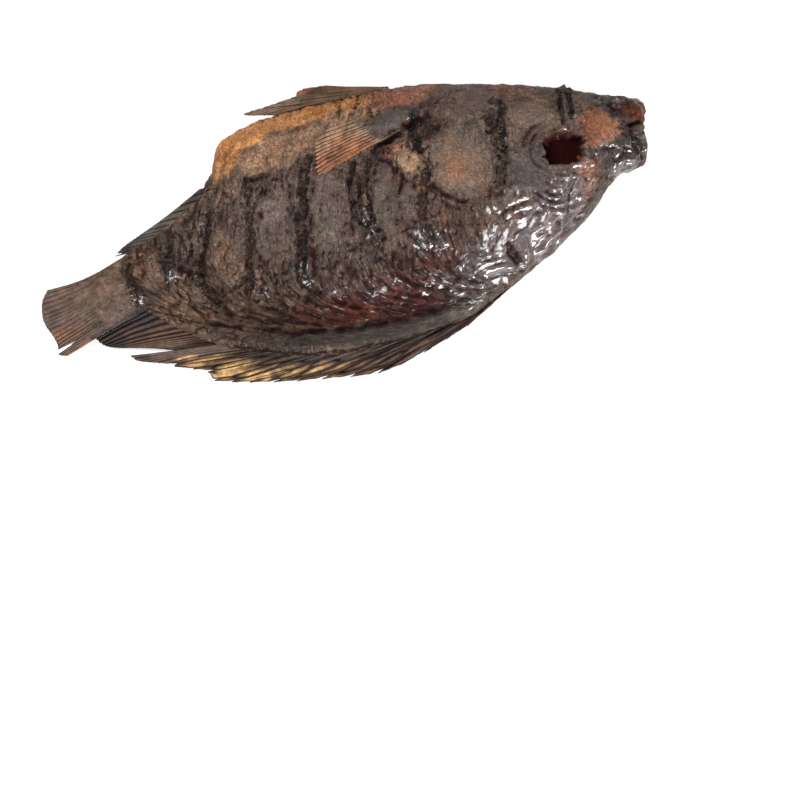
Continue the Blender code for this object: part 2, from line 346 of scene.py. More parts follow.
# Daubs of colour: place x, y; reach x, y; turn in degrees; tint; strength.
trunkDaubs = [
    (140, -20, 60, 34, -8, "dusk", 0.50),
    (90, -32, 36, 13, -26, "bark", 0.75),
    (93, -28, 14, 7, -24, "dun", 0.75),
    (56, -14, 9, 12, -20, "tan", 0.60),
    (61, -23, 13, 7, -35, "tan", 0.65),
    (70, -6, 6, 14, 20, "umber", 0.40),
    (47, 3, 9, 14, 0, "tan", 0.45),
    (45, 11, 8, 3, 10, "toast", 0.20),
    (55, 14.5, 9, 2.6, 14, "bark", 0.55),
    (76, 26, 16, 4.0, 33, "tan", 0.65),
    (40.5, -2, 3.6, 12, 8, "soot", 0.80),
    (44, -9, 5, 5, 0, "umber", 0.30),
    (92, 33, 9, 5, 30, "tan", 0.55),
    (57, 3, 4.5, 8, 10, "slate", 0.80),
    (50, -8, 6, 5, 10, "slate", 0.45),
    (83, -4, 6, 16, 8, "tan", 0.50),
    (87, 16, 6, 9, 8, "plum", 0.45),
    (90, 24, 7, 5, 20, "tan", 0.45),
    (107, 12, 7.5, 10, -14, "ash", 0.60),
    (104, -4, 8, 10, 0, "skin", 0.8),
    (110, 4, 3.0, 5, 0, "plum", 0.65),
    (104, 24, 7, 4, 0, "umber", 0.45),
    (132.5, 11, 6.5, 11, -14, "plum", 0.55),
    (131, 15, 4, 5, 0, "ash", 0.55),
    (126.5, -3, 7, 14, -14, "sage", 0.55),
    (136.5, -4, 3.4, 9, -8, "plum", 0.50),
    (152.5, 2, 6, 14, -8, "sage", 0.60),
    (153, -17, 6, 8, 20, "skin", 0.85),
    (163.5, -2, 4.5, 8, -6, "lilac", 0.45),
    (156, 15, 5, 6, 0, "plum", 0.45),
    (168, -10, 6, 9, 8, "plum", 0.40),
    (112, 35, 18, 8, 0, "buff", 0.80),
    (106, 31, 5, 3, 0, "cream", 0.35),
    (134, 38, 18, 6, 0, "buff", 0.85),
    (156, 42.5, 20, 5, -2, "buff", 0.75),
    (104, 46.5, 18, 6.6, 8, "amber", 1.0),
    (93, 41, 8.0, 10, -30, "amber", 0.72),
    (128, 48.0, 26, 4.6, 0, "amber", 1.0),
    (154, 47.5, 17, 4.2, -4, "amber", 0.75),
    (97, 41, 7, 3, 40, "toast", 0.40),
    (138, 47, 4, 2, 0, "toast", 0.65),
    (128, 43, 5, 1.6, -10, "brick", 0.6),
    (174, 44, 18, 6.0, -12, "copper", 0.95),
    (170, 46.5, 10, 2.6, -12, "brick", 0.12),
    (182, 40, 7, 2, -20, "tan", 0.5),
    (200, 36, 17, 6, -8, "plum", 0.70),
    (222, 30, 14, 5, -22, "apricot", 0.28),
    (216, 33, 5, 2.4, -16, "apricot", 0.65),
    (187, 31, 5, 3.4, 0, "olive", 0.6),
    (168, 34.5, 10.5, 5.0, 5, "stone", 0.95),
    (164, 27.6, 8, 1.7, 12, "soot", 1.0),
    (176, 30.5, 6, 2.6, 20, "soot", 0.95),
    (180, 25, 7, 6, 0, "umber", 0.65),
    (181, 35, 8, 4, 10, "umber", 0.55),
    (189, 9, 14, 17, 0, "olive", 0.75),
    (187, 7, 10, 9, -10, "tan", 0.55),
    (186.5, 5.5, 6, 5.5, -10, "apricot", 0.55),
    (196, 21, 9, 7, -20, "sage", 0.60),
    (178, 23, 5, 6, 0, "umber", 0.50),
    (168.5, 15.5, 5.4, 7.6, 0, "cream", 0.80),
    (163, 21, 5, 5, -30, "apricot", 0.60),
    (237, -26.5, 17, 2.8, 37, "slate", 0.70),
    (205, -49.5, 16, 2.8, 30, "slate", 0.50),
    (134, 12, 4, 7, -10, "plum", 0.40),
    (171, 3, 3.4, 3, 0, "toast", 0.35),
    (163, 8, 5, 4, 30, "bark", 0.5),
    (216, -3, 14, 14, 0, "pewter", 0.75),
    (203, -8, 8, 3, 0, "umber", 0.55),
    (210, 4, 4, 9, 8, "dusk", 0.40),
    (233.5, 6.2, 8.5, 3.6, -6, "wine", 0.95),
    (226, 18, 13, 8, -20, "olive", 0.50),
    (224, 8, 6, 5, 0, "plum", 0.35),
    (250, 8.5, 7.4, 7.0, -20, "apricot", 0.95),
    (255, 2.5, 6.0, 5.4, 0, "apricot", 0.95),
    (246.5, 3.0, 4.4, 5.0, 0, "apricot", 0.85),
    (247, 2, 4.0, 4.5, 0, "brick", 0.60),
    (253, 18, 12, 5, -26, "sage", 0.70),
    (241, -13, 7, 5, 50, "apricot", 0.80),
    (238, -20, 8, 3.4, 50, "apricot", 0.45),
    (246, -9, 5, 4, 40, "brick", 0.45),
    (257, -9, 12, 8, 0, "soot", 0.72),
    (263.5, -4, 3.4, 12, 0, "soot", 0.85),
    (268.5, -7, 2.2, 8, 0, "stone", 0.75),
    (262, 11, 8, 5, -30, "wine", 0.70),
    (270, 8.5, 4.4, 6.4, 0, "ember", 0.95),
    (269.5, 9, 6.0, 6.0, 0, "ember", 1.0),
    (258, 16.0, 8, 2.2, -26, "sage", 0.70),
    (138, -40, 30, 9, -10, "rust", 0.78),
    (146, -44, 24, 3.0, -8, "ember", 0.05),
    (128, -42, 12, 4, -16, "ember", 0.55),
    (143, -33, 8, 4, -30, "ember", 0.40),
    (150, -47.5, 22, 3.0, -3, "wine", 0.90),
    (158, -33, 14, 9, 20, "rust", 0.45),
    (112, -38, 14, 5, -28, "rust", 0.60),
    (128, -28, 16, 6, -20, "plum", 0.50),
    (160, -43, 16, 5, -4, "wine", 0.65), (176, -36, 10, 6, -10, "umber", 0.5), (205, -30, 6, 9, 20, "dusk", 0.5),
    (228, -24, 8, 3, 40, "umber", 0.45),
    (190, -36, 24, 12, 14, "pearl", 0.75),
    (175, -14, 3, 8, 10, "brick", 0.40),
    (172, -30, 12, 7, 0, "rust", 0.35),
    (188, -17, 12, 8, 20, "bark", 0.35),
    (205, -19, 14, 6, 10, "plum", 0.50),
    (220, -26, 26, 11, 33, "pearl", 0.85),
    (237, -29, 19, 2.6, 38, "sage", 0.90),
    (122, -50, 42, 4.6, -12, "slate", 0.95),
    (150, -54, 30, 5.0, 3, "slate", 0.95),
    (96, -45, 16, 5.0, -24, "slate", 0.55),
    (176, -52, 11, 4.5, 16, "sage", 0.75),
    (74, -33, 16, 4.5, -34, "dusk", 0.5),
    (270, 9, 6.0, 6.0, 0, "umber", 0.45),
]

# Bars burnt in by the grill: a path down the flank, its width, how deep it is burnt.
grillBars = [
    ([(42, 8), (41, 1), (39.5, -5), (38, -14)], 3.6, 0.75),
    ([(60, 12), (58, 5), (56, -2)], 5.0, 0.30),
    ([(80, 19), (77.5, 11), (75, 4), (71, 0), (70, -8), (71, -15), (75, -22)], 2.8, 0.85),
    ([(69.5, 12), (68, 4), (66, -3)], 1.8, 0.65),
    ([(100, 28), (98.5, 17), (95.5, 6), (93, -2), (90.5, -10), (88, -19)], 4.0, 0.60),
    ([(112, 24), (106, 27), (100.5, 27)], 3.4, 0.50),
    ([(128.5, 29), (124.5, 22), (121.5, 15), (120, 9), (117, 4), (116, -4), (112.5, -12), (111, -20), (114.5, -28)],
     5.4, 0.95),
    ([(146, 21), (142, 14), (140.8, 8), (140, 1), (140.4, -5)], 2.4, 0.95),
    ([(153, 20), (149, 14), (147.5, 8), (146.5, 0), (147, -8), (148, -14)], 2.6, 0.80),
    ([(143, -4), (143.5, -12), (145, -21)], 6.0, 0.50),
    ([(178, 35), (174.5, 27), (174.5, 18)], 4.4, 0.80),
    ([(174, 8), (171, 2), (168, -6), (167.5, -14), (169, -22)], 5.0, 0.62),
    ([(209.5, 25), (208.5, 17), (207.5, 10), (206, 2), (203.5, -7)], 6.6, 0.62),
    ([(210, 29.5), (213, 28), (213.5, 25), (211.5, 21), (210.5, 15), (209, 8)], 3.8, 0.85),
    ([(206, 26), (205, 20), (205.5, 12)], 2.4, 0.70),
    ([(244, 27), (242.5, 20), (241, 13)], 3.2, 0.95),
    ([(239.5, 26), (237.5, 18), (237, 11)], 2.6, 0.90),
]
barsBelow = 8.0  # the lower flank's bars lie this much further forward


def barMarks(x, y, X, Y, Z):
    # burnt: 1 where the skin is charred; ditch: relief in millimetres
    burnt = np.zeros(np.shape(x))
    relief = np.zeros(np.shape(x))
    crust = cloud(X, Y, Z, 3.2, 301, 3, 0.65)
    crumbs = np.abs(cloud(X, Y, Z, 2.2, 302, 2, 0.6))
    wander = 1.8 * cloud(X, Y, Z, 8, 303, 2)
    width8 = cloud(X, Y, Z, 7, 304, 2)
    patches = ease(-0.30, 0.25, cloud(X, Y, Z, 5, 305, 2))
    blots = ease(0.08, 0.30, cloud(X, Y, Z, 3.6, 306, 3, 0.6))
    there = ease(-0.25, 0.10, cloud(X, Y, Z, 4.2, 307, 2))
    for path, width, depth in grillBars:
        distance, where = pathDistance(x + wander, y, path)
        uneven = width * (0.43 + 0.34 * width8)
        inside = 1 - ease(uneven * 0.72, uneven * 1.06, distance + 1.3 * crust)
        lip = np.exp(-((distance - uneven * 1.15) / 1.0) ** 2)
        ends = ease(0.0, 0.05, where) * ease(0.0, 0.05, 1 - where)
        rim = np.exp(-((distance + 1.0 * crust - uneven * 0.80) / 0.62) ** 2) * (0.45 + 0.55 * there)
        patchy = 0.60 + 0.40 * patches if depth > 0.7 else 0.30 + 0.70 * patches
        burnt = np.maximum(burnt, inside * (0.28 + 0.32 * depth) * patchy)
        burnt = np.maximum(burnt, rim * ends * (0.15 + 0.90 * depth) * patchy)
        burnt = np.maximum(burnt, inside * blots * (0.30 + 0.70 * depth))
        relief = relief + depth * (-0.95 * inside + 0.9 * lip * ease(-0.5, 0.4, crust) * ends)
        relief = relief + depth * inside * (1.1 * crust + 1.3 * crumbs)
    return burnt, relief


# Smoother plates: place x, y; reach x, y; turn; height; how much smoother they are than the skin around.
skinPlates = [
    (106, 5, 8.5, 19, -14, 0.35, 0.45), (130, 5, 9.0, 23, -14, 0.40, 0.50), (154, -3, 7.0, 21, -10, 0.40, 0.50),
    (164, -2, 3.8, 9, -6, 0.30, 0.55), (84, 2, 8.0, 19, -14, 0.25, 0.30), (50, -3, 5.5, 10, -10, 0.25, 0.40),
    (188, 7, 12.6, 15.8, 0, 0.15, 0.85), (217, -3, 11.5, 12.5, 0, 0.40, 0.80), (223, 20, 10.5, 6.4, -20, 0.35, 0.65),
    (252, 5, 8.2, 8.8, 0, 0.25, 0.75), (201, 31, 13, 7, -8, 0.30, 0.65),
    (168.5, 15.5, 4.6, 6.6, 0, 0.50, 0.40), (167, 34.4, 10, 4.8, 5, 0.00, 0.85),
]


def plateRelief(x, y, X, Y, Z):
    relief = np.zeros(np.shape(x))
    calm = np.zeros(np.shape(x))
    outline = np.zeros(np.shape(x))
    ragged = 0.50 * cloud(X, Y, Z, 9, 451, 3, 0.6) + 0.12 * cloud(X, Y, Z, 2.4, 452, 2)
    broken = ease(-0.35, 0.35, cloud(X, Y, Z, 6, 453, 2))
    for centreX, centreY, reachX, reachY, degrees, height, smooth in skinPlates:
        u, v = turned(x, y, centreX, centreY, degrees)
        distance = np.hypot(u / reachX, v / reachY) + ragged
        inside = 1 - ease(0.66, 1.05, distance)
        relief = relief + height * inside - 0.7 * height * broken * np.exp(-((distance - 1.06) / 0.08) ** 2)
        calm = np.maximum(calm, inside * smooth)
        outline = np.maximum(outline, broken * np.exp(-((distance - 1.06) / 0.06) ** 2))
    return relief, calm, outline


# The line under the back's ridge and along the top of the head, towards which the wrinkles sweep.
sweepLine = [(20, -20), (45, -17), (68, -27), (80, -33), (100, -41), (120, -46), (140, -49), (165, -50.5), (185, -51),
             (200, -48), (212, -43.5), (225, -36.5), (240, -28.5), (250, -17.5), (262, -16), (280, -14)]


def flowOf(x, y):
    # across and along the wrinkles, which run steeply down the flank and then sweep forward beside the back
    lineX = [p[0] for p in sweepLine]
    lineY = [p[1] for p in sweepLine]
    away = np.maximum(y - np.interp(x, lineX, lineY), -6)
    across = x - 0.27 * y - 45 * np.exp(-away / 9)
    return across, 0.6 * x - y, away


# Folds where the drying skin has rucked up: place x, y; reach; turn; pitch; height.
skinFolds = [
    (218, -24, 22, 11, 31, 6.4, 1.10), (233, -14, 12, 8, 50, 4.4, 0.80), (191, -39, 17, 7, -6, 5.6, 1.10),
    (195, -29, 12, 8, 48, 7.5, 1.50), (206, -17, 13, 5, 6, 6.0, 1.00), (170, -38, 15, 10, -28, 5.8, 1.40),
    (179, -51, 11, 5, 18, 5.4, 0.80), (148, -36, 20, 11, -50, 6.6, 1.60), (122, -35, 16, 9, -44, 6.0, 1.35),
    (102, -31, 16, 9, -38, 5.0, 1.10), (165, -24, 13, 9, -70, 5.4, 1.10), (64, -20, 14, 9, -46, 4.6, 0.95),
    (258, -8, 10, 9, 60, 4.6, 1.30), (262, 11, 8, 5, -40, 3.4, 0.80), (64, 6, 8, 12, 62, 5.0, 1.10),
    (75, 8, 6, 14, 76, 4.6, 1.00), (147, 4, 8, 16, 84, 4.6, 0.80),
]


def foldRelief(x, y, X, Y, Z):
    relief = np.zeros(np.shape(x))
    warp = 3.4 * cloud(X, Y, Z, 12, 401, 2)
    for index, (centreX, centreY, reachX, reachY, degrees, pitch, height) in enumerate(skinFolds):
        weight = spot(x, y, centreX, centreY, reachX, reachY, degrees * 0.5, 0.8)
        along, across = turned(x, y, centreX, centreY, degrees)
        shift = index * 7.3
        wave = np.abs(noise3(along / (pitch * 4.0), (across + warp) / pitch, Z * 0.05 + shift, 410 + index))
        finer = np.abs(noise3(along / (pitch * 2.2), (across + warp) / (pitch * 0.5), Z * 0.1 + shift, 430 + index))
        relief = relief + weight * height * (2.5 * wave ** 0.8 + (0.15 if index < 7 else 0.5) * finer - 0.75)
    return relief


def scaleRelief(x, y, pitch=5.4):
    # rows of overlapping scales, free edge towards the tail
    u, v = x / pitch, y / (pitch * 0.82)
    best = np.full(np.shape(x), -9.0)
    for rowStep in (-1, 0, 1):
        row = np.round(v) + rowStep
        shift = np.where(np.mod(row, 2) > 0.5, 0.5, 0.0)
        for columnStep in (-1, 0, 1, 2):
            column = np.floor(u + shift) + columnStep
            du, dv = u + shift - column, v - row
            radius = np.hypot(du * 0.92, dv)
            inside = radius < 0.78
            tilt = 0.5 - 0.62 * du - 0.25 * radius ** 2
            best = np.where(inside & (tilt > best), tilt, best)
    return np.clip(best, -0.6, 1.0)


eyeHole = {"x": 234.0, "y": 1.0, "across": 8.8, "high": 6.8, "depth": 8.0, "turn": -4.0}


def eyeRelief(x, y, X, Y, Z):
    u, v = turned(x, y, eyeHole["x"], eyeHole["y"], eyeHole["turn"])
    ragged = 0.46 * cloud(X, Y, Z, 5.0, 501, 2) + 0.16 * cloud(X, Y, Z, 1.8, 502, 2)
    distance = (np.abs(u / eyeHole["across"]) ** 3 + np.abs(v / eyeHole["high"]) ** 3) ** (1 / 3) + ragged
    hole = 1 - ease(0.86, 1.04, distance)
    radius = np.hypot(x - 231.5, y - 1.5)
    rings = np.abs(np.sin((radius - 9.0) * math.pi / 2.6 + 1.2 * cloud(X, Y, Z, 8, 503, 2)))
    ringZone = ease(7.0, 9.5, radius) * (1 - ease(13.0, 19.0, radius)) * ease(-2, 8, 234 - x)
    rim = np.exp(-((distance - 1.16) / 0.12) ** 2)
    relief = 0.36 * rings * ringZone + 0.55 * rim - hole * eyeHole["depth"]
    # the last value marks the troughs between the rings, where the skin is painted with shade
    return hole, relief, 0.5 * ringZone * (1 - rings)


# Grooves drawn into the skin: path, width, depth.
skinGrooves = [
    ([(173, 4), (177, -1), (182, -6), (188, -9.5)], 1.0, 1.5),
    ([(176, -5), (180, -9), (186, -12)], 0.9, 0.8),
    ([(172, 33), (173, 26), (173.5, 18)], 1.2, 1.0),
    ([(171, 30), (175, 31.5), (180, 31.5), (184, 34)], 2.0, 3.0),
    ([(200, 22), (203, 12), (202, 0), (197, -9)], 1.0, 0.4),
    ([(217, 5), (218.5, 10), (223, 13.5), (229, 14.5)], 0.9, 0.7),
    ([(222.0, -5.5), (219.4, -1), (219.2, 4), (221.5, 8.5), (226, 11.2)], 0.7, 0.8),
    ([(224.6, -5), (222.6, -1), (222.6, 3), (224.6, 6.6)], 0.6, 0.6),
    ([(263.6, 3.4), (267, 3.6), (274, 3.0)], 1.1, 2.8),
    ([(262, -15), (264, -8), (264, 2)], 1.1, 1.6),
    ([(265.6, -13), (266.4, -7), (266, -1)], 0.8, 1.2),
    ([(247, -19), (251, -13), (256, -9), (262, -6)], 1.0, 0.9),
    ([(243, -2), (250, -4.5), (256, -5)], 0.9, 0.7),
    ([(258, 16), (262, 11), (266, 9)], 0.9, 0.9),
    ([(154, 24.4), (158, 26.6), (165, 27.4), (172, 28.8)], 1.9, 3.0),
    ([(197.5, -30), (199.5, -36), (201, -42)], 1.5, 2.2),
    ([(60, -12), (63, -19), (68, -27), (84, -34), (100, -41), (120, -46), (140, -48.8), (160, -50.3), (172, -49),
      (182, -46)], 1.0, 1.4),
    ([(72, -8), (74, -18), (78, -26), (90, -32), (105, -38.5), (118, -44)], 0.8, 1.0),
    ([(86, -16), (87, -22), (91, -24)], 0.8, 0.9),
    ([(95, -22), (102, -30), (108, -35), (118, -41), (127, -45.5)], 0.9, 1.2),
    ([(120, -28), (123.5, -35), (130, -38.5), (138, -42), (147, -47.5)], 1.0, 1.4),
    ([(98, -38.5), (106, -41.5), (116, -44.5), (126, -47)], 0.8, 1.1),
    ([(130, -31), (134.5, -37), (141, -40.5), (150, -44.5), (157, -48.5)], 1.0, 1.4),
    ([(140, -29), (145.5, -35.5), (152, -40), (161, -45.5)], 0.9, 1.2),
    ([(82, -25), (92, -31.5), (104, -37.5), (115, -42.5)], 0.8, 1.0),
    ([(84, -30), (94, -35), (103, -39.5)], 0.7, 0.8),
    ([(110, -26), (114, -33), (121, -38), (130, -42.5)], 0.8, 1.0),
    ([(150, -30), (155, -36), (164, -41)], 0.9, 1.1),
    ([(126, -46), (138, -48.2), (150, -49.8), (165, -49.6)], 1.6, 1.2),
    ([(60, -33), (80, -41.5), (100, -51), (118, -55.5), (135, -58), (155, -59), (172, -57)], 1.0, 1.1),
    ([(88, 34), (93, 37.5), (99, 40), (110, 42)], 0.9, 0.4),
    ([(120, 43.5), (131, 42.0), (142, 44.5), (158, 45)], 0.8, 0.2),
    ([(60, 3), (62.5, -1), (66, -5)], 0.9, 0.9),
    ([(156, 22), (160, 17), (163, 11), (167, 5)], 0.8, 0.8),
    ([(244, -19), (236, -25), (228, -31)], 0.8, 0.6),
]


def grooveRelief(x, y, X, Y, Z):
    relief = np.zeros(np.shape(x))
    # dark marks the grooves, where the skin is painted with shade
    dark = np.zeros(np.shape(x))
    wander = 1.5 * cloud(X, Y, Z, 6, 601, 2)
    broken = ease(-0.45, 0.25, cloud(X, Y, Z, 4.5, 602, 2))
    for path, width, depth in skinGrooves:
        distance, where = pathDistance(x + wander * 0.5, y + wander, path)
        taper = ease(0.0, 0.15, where) * ease(0.0, 0.15, 1 - where) * (0.35 + 0.65 * broken)
        line = np.exp(-(distance / (width * (0.6 + 0.6 * broken))) ** 2) * taper
        relief = relief - depth * line
        dark = np.maximum(dark, line * min(1.0, depth))
    return relief, dark


# Folds that catch the light: path, width, height.
skinRidges = [
    ([(197, -18), (203, -15.8), (209, -15), (216, -15.6)], 1.1, 0.9),
    ([(200, -20.5), (207, -18.8), (214, -19)], 0.9, 0.6),
    ([(222, -10.6), (229, -11.6), (236, -11)], 0.9, 0.8),
    ([(222, -12.5), (226, -15), (228, -19), (226.5, -23)], 0.9, 0.7),
    ([(226, -12.8), (229.5, -16), (231, -20)], 0.8, 0.6),
    ([(214, -29), (218, -24), (220, -18)], 1.2, 0.8),
    ([(209, -30.5), (216, -28.6), (223, -26.6), (231, -22.5)], 0.9, 0.8),
    ([(209, -34.5), (216, -31.4), (224, -28), (232, -24.5)], 0.9, 0.8),
    ([(208, -41), (214, -36.5), (221, -32), (229, -27)], 1.0, 0.9),
    ([(211, -43.5), (219, -38), (227, -32)], 0.9, 0.8),
    ([(187, -33), (192, -28), (196, -23.5), (198.5, -20.5)], 1.8, 1.3),
    ([(184, -35.5), (190, -33.8), (197, -35)], 0.8, 0.7),
    ([(183, -38), (190, -36.4), (197.5, -38.2)], 0.8, 0.7),
    ([(184, -40.5), (190, -39.2), (196, -40.6)], 0.8, 0.7),
    ([(202.5, -45), (204, -39), (206, -31)], 1.2, 1.2),
    ([(158, -38), (163, -36), (167, -33.4), (171, -33)], 1.3, 1.0),
    ([(168, -43.5), (174, -41.6), (181, -39.6)], 1.0, 0.9),
    ([(170, -46.5), (178, -44.8), (188, -43.6)], 0.9, 0.8),
    ([(172, -36.5), (178, -34), (184, -31)], 1.1, 0.9),
    ([(160, -26), (164, -23.8), (169, -22)], 0.9, 0.7),
    ([(170, -25.5), (173, -24), (176, -22)], 0.9, 0.7),
    ([(235, -20.5), (239, -17), (243.5, -13)], 1.0, 0.8),
    ([(244, -17.5), (249, -14), (254, -10)], 1.0, 0.8),
    ([(231, -30), (235, -27), (238, -24.4)], 1.2, 0.9),
    ([(192, -49.5), (197, -46.4), (201, -44.6)], 1.2, 0.9),
    ([(176, -51.5), (181, -49.8), (186, -48.6)], 1.0, 0.7),
    ([(147, -32), (149.5, -28), (151, -23)], 0.8, 0.8),
    ([(128, -26), (129.5, -23), (132, -20)], 0.8, 0.6),
    ([(254, -13), (256, -8), (258, -4)], 1.0, 0.6),
    ([(258, -13), (260, -8), (261, -3)], 0.9, 0.6),
    ([(267, -12), (268, -6), (267.6, 0)], 1.0, 0.7),
    ([(214, -13), (217, -17), (221, -20.5), (227, -22), (233, -21)], 0.65, 0.8),
    ([(216, -11.5), (219, -15), (223, -18), (228, -19)], 0.6, 0.7),
    ([(218.5, -9.5), (221, -13), (225, -15.5), (230, -16)], 0.6, 0.7),
    ([(212.5, -16), (216, -20.5), (221, -24), (228, -25.5), (236, -24)], 0.65, 0.7),
    ([(229, -8), (233, -10), (237, -13.5), (239, -18)], 0.7, 0.8),
    ([(232, -20), (237, -22), (242, -21)], 0.7, 0.6),
    ([(203, -24), (210, -23), (217, -25.5)], 0.7, 0.6),
]


def ridgeRelief(x, y, X, Y, Z):
    relief = np.zeros(np.shape(x))
    wander = 1.5 * cloud(X, Y, Z, 7, 651, 2)
    broken = ease(-0.4, 0.2, cloud(X, Y, Z, 4.0, 652, 2))
    for path, width, height in skinRidges:
        distance, where = pathDistance(x + wander, y + wander * 0.6, path)
        taper = ease(0.0, 0.25, where) * ease(0.0, 0.25, 1 - where) * (0.30 + 0.70 * broken)
        relief = relief + 1.35 * height * taper * np.exp(-(distance / (width * 1.1)) ** 2)
    return relief


# Single rises (+) and dips (-): place x, y; reach x, y; turn; height.
skinLumps = [
    (84, 33.5, 3.0, 1.8, 30, 1.8), (243, 26.5, 3.2, 2.0, -20, 1.2), (188, 7, 13, 16, 0, 0.3), (252, 6, 8, 8, 0, 0.6),
    (266, 10, 6, 5, -20, 0.9), (258, -8, 9, 6, 10, 0.9), (164, 34, 10, 4.4, 6, 0.7), (191, 35, 5, 1.6, 15, 1.4),
    (240, -13, 6, 4, 50, -0.8), (176, 30.5, 4.6, 2.4, 20, -2.6), (184, 26, 2.5, 1.6, 0, -1.6), (164, 26.8, 6, 1.8, 4, -2.2),
    (200, -36, 2.4, 5.5, 10, -2.2), (72, 1.5, 3, 4, 0, -1.1), (100.6, 11.4, 1.0, 1.8, 20, -1.0), (150, 12, 3, 7, 0, 0.5),
    (224, 3, 4, 9, 8, 0.6), (208, -12, 8, 4, 0, 0.6), (198, 5.5, 2.0, 1.6, 0, -0.3), (235, 6.5, 7.0, 2.6, -6, -1.6), (271, 9, 5, 5.5, 0, 1.8),
    (144, 17, 2.2, 4, 0, -1.4), (145, 9, 2.0, 4, 0, -1.2),
]

# Where the skin is wet with fat: place x, y; reach x, y; turn; wetness.
wetPlaces = [
    (203, -31, 43, 15, 19, 1.0), (232, -17, 18, 11, 35, 1.0), (256, -8, 15, 12, 0, 1.0), (150, -38, 42, 13, -6, 0.62),
    (168, -22, 12, 9, 0, 0.8), (265, 11, 13, 7, -15, 0.62), (112, -20, 5, 8, 0, 1.0), (110, 47, 30, 5, 0, 0.12),
    (41, -8, 5, 7, 0, 0.8), (58, -3, 6, 3, 30, 0.9), (176, 31, 5, 4, 0, 0.8), (211, 12, 3, 3, 0, 0.8),
    (134, -17, 4, 3, 0, 0.7), (234, 7, 10, 4, 0, 0.30), (180, -53, 10, 5, 15, 0.6), (145, -8, 5, 14, 0, 0.5),
    (207, -15, 18, 7, 5, 1.0), (92, -20, 5, 5, 0, 0.6), (76, 10, 4, 9, 0, 0.5),
]


def paint(x, y, base, daubs, patchy):
    # patchy: fields that break up the edges and the evenness of the daubs
    tint = np.empty(np.shape(x) + (3,))
    tint[...] = tints[base]
    for index, (centreX, centreY, reachX, reachY, degrees, name, strength) in enumerate(daubs):
        broken = patchy[index % len(patchy)]
        u, v = turned(x, y, centreX, centreY, degrees)
        distance = np.hypot(u / reachX, v / reachY) + 0.50 * broken
        amount = (1 - ease(0.55, 1.15, distance)) * strength * (1 + 0.25 * broken)
        amount = np.clip(amount, 0, 1)[..., None]
        tint = tint * (1 - amount) + tints[name] * amount
    return tint


def blurred(field, times):
    for _ in range(times):
        across = (np.roll(field, 1, 1) + np.roll(field, -1, 1) + 2 * field) / 4
        ahead, behind = np.vstack([across[1:], across[-1:]]), np.vstack([across[:1], across[:-1]])
        field = (ahead + behind + 2 * across) / 4
    return field


def creaseLines(field, width, mask):
    # 1 along the lines where a noise changes sign, kept only where mask allows
    return np.exp(-(field / width) ** 2) * mask


